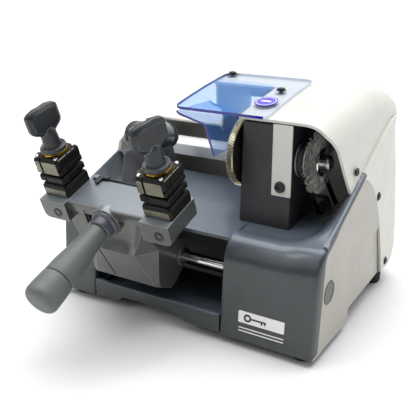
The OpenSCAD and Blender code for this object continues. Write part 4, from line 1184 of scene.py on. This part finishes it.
guard = new()
outer = [(-34, 231.5), (-33, 229.2), (-30, 227), (0.5, 219.4), (2.2, 218.4), (14, 186.2)]
inner = [(-31.6, 231.7), (-31, 230.2), (-29, 229.2), (2.6, 221.4), (4.6, 219.8), (16.4, 187.1)]
rings = [[Vector((x, y, z)) for x, z in outer + inner[::-1]] for y in (59, 61, 95, 127, 129)]
loft(guard, rings)
guard.normal_update()
for f in guard.faces:
    mid = f.calc_center_median()
    if abs(f.normal.y) > 0.9 or mid.z < 187.2:
        f.material_index = 1
piece("chip_flap", guard, "base", [VISOR, EDGE_BLUE], "chip_guard", sharp=30)

polish("mains_inlet", "base", PLASTIC, 0.5)
polish("switch_frame", "base", PLASTIC, 0.5)
polish("switch_rocker", "rocker", ROCKER, 0.8)

# ------------------------------------------------------------------ floor, light, camera
floor_mesh = bpy.data.meshes.new("floor")
half = 20.0
floor_mesh.from_pydata([(-half, -half, 0), (half, -half, 0), (half, half, 0), (-half, half, 0)], [],
                       [(0, 1, 2, 3)])
floor = bpy.data.objects.new("floor", floor_mesh)
bpy.context.scene.collection.objects.link(floor)
floor_mesh.materials.append(finish_of("floor_pale", (227, 227, 227), (229, 229, 229), (0.9, 0.95), grain=20,
                                      depth=0.0, patch=0.5, specular=0.0))

world = bpy.data.worlds.new("studio")
bpy.context.scene.world = world
world.use_nodes = True
wn, wl = world.node_tree.nodes, world.node_tree.links
sky = wn["Background"]
sky.inputs["Color"].default_value = (0.95, 0.975, 1.0, 1)
way = wn.new("ShaderNodeTexCoord")
split = wn.new("ShaderNodeSeparateXYZ")
wl.new(way.outputs["Generated"], split.inputs["Vector"])
fade = remap(world.node_tree, split.outputs["Y"], -0.2, 0.85, 0.10, 0.98, "SMOOTHSTEP")
wl.new(fade, sky.inputs["Strength"])


def aimed(name, data, towards, axis="Z"):
    """An object whose axis points one way."""
    obj = bpy.data.objects.new(name, data)
    obj.rotation_mode = "QUATERNION"
    obj.rotation_quaternion = Vector(towards).to_track_quat(axis, "Y")
    bpy.context.scene.collection.objects.link(obj)
    return obj


def sun(name, towards, strength, spread, colour=(1, 1, 1)):
    data = bpy.data.lights.new(name, "SUN")
    data.energy, data.angle, data.color = strength * math.pi, math.radians(spread), colour
    aimed(name, data, towards)


sun("overhead", (-0.05, 0.15, 1.0), 1.2, 70)
sun("side_light", (-0.45, -1.0, 0.75), 0.08, 40, (1.0, 0.99, 0.97))


def softbox(name, at, look, size, power):
    data = bpy.data.lights.new(name, "AREA")
    data.shape, data.size, data.size_y, data.energy = "RECTANGLE", size[0], size[1], power
    aimed(name, data, Vector(at) - Vector(look)).location = at


softbox("right_softbox", (1.2, 0.5, 0.8), (0, 0, 0.12), (0.9, 0.9), 1.5)
softbox("left_strip", (-0.8, -0.9, 0.9), (0, 0, 0.1), (0.3, 0.9), 4)

# the view from the right of the front, from above
AZ, EL = math.radians(31.59), math.radians(19.91)
camera_data = bpy.data.cameras.new("camera")
camera_data.sensor_width, camera_data.lens = 36, 57.10114
forward = Vector((-math.sin(AZ) * math.cos(EL), math.cos(AZ) * math.cos(EL), -math.sin(EL)))
camera = aimed("camera", camera_data, forward, "-Z")
camera.location = MACHINE @ Vector((379.23, -541.37, 378.33))
camera_data.clip_start, camera_data.clip_end = 0.01, 100
bpy.context.scene.camera = camera
bpy.context.scene.view_settings.view_transform = "Standard"
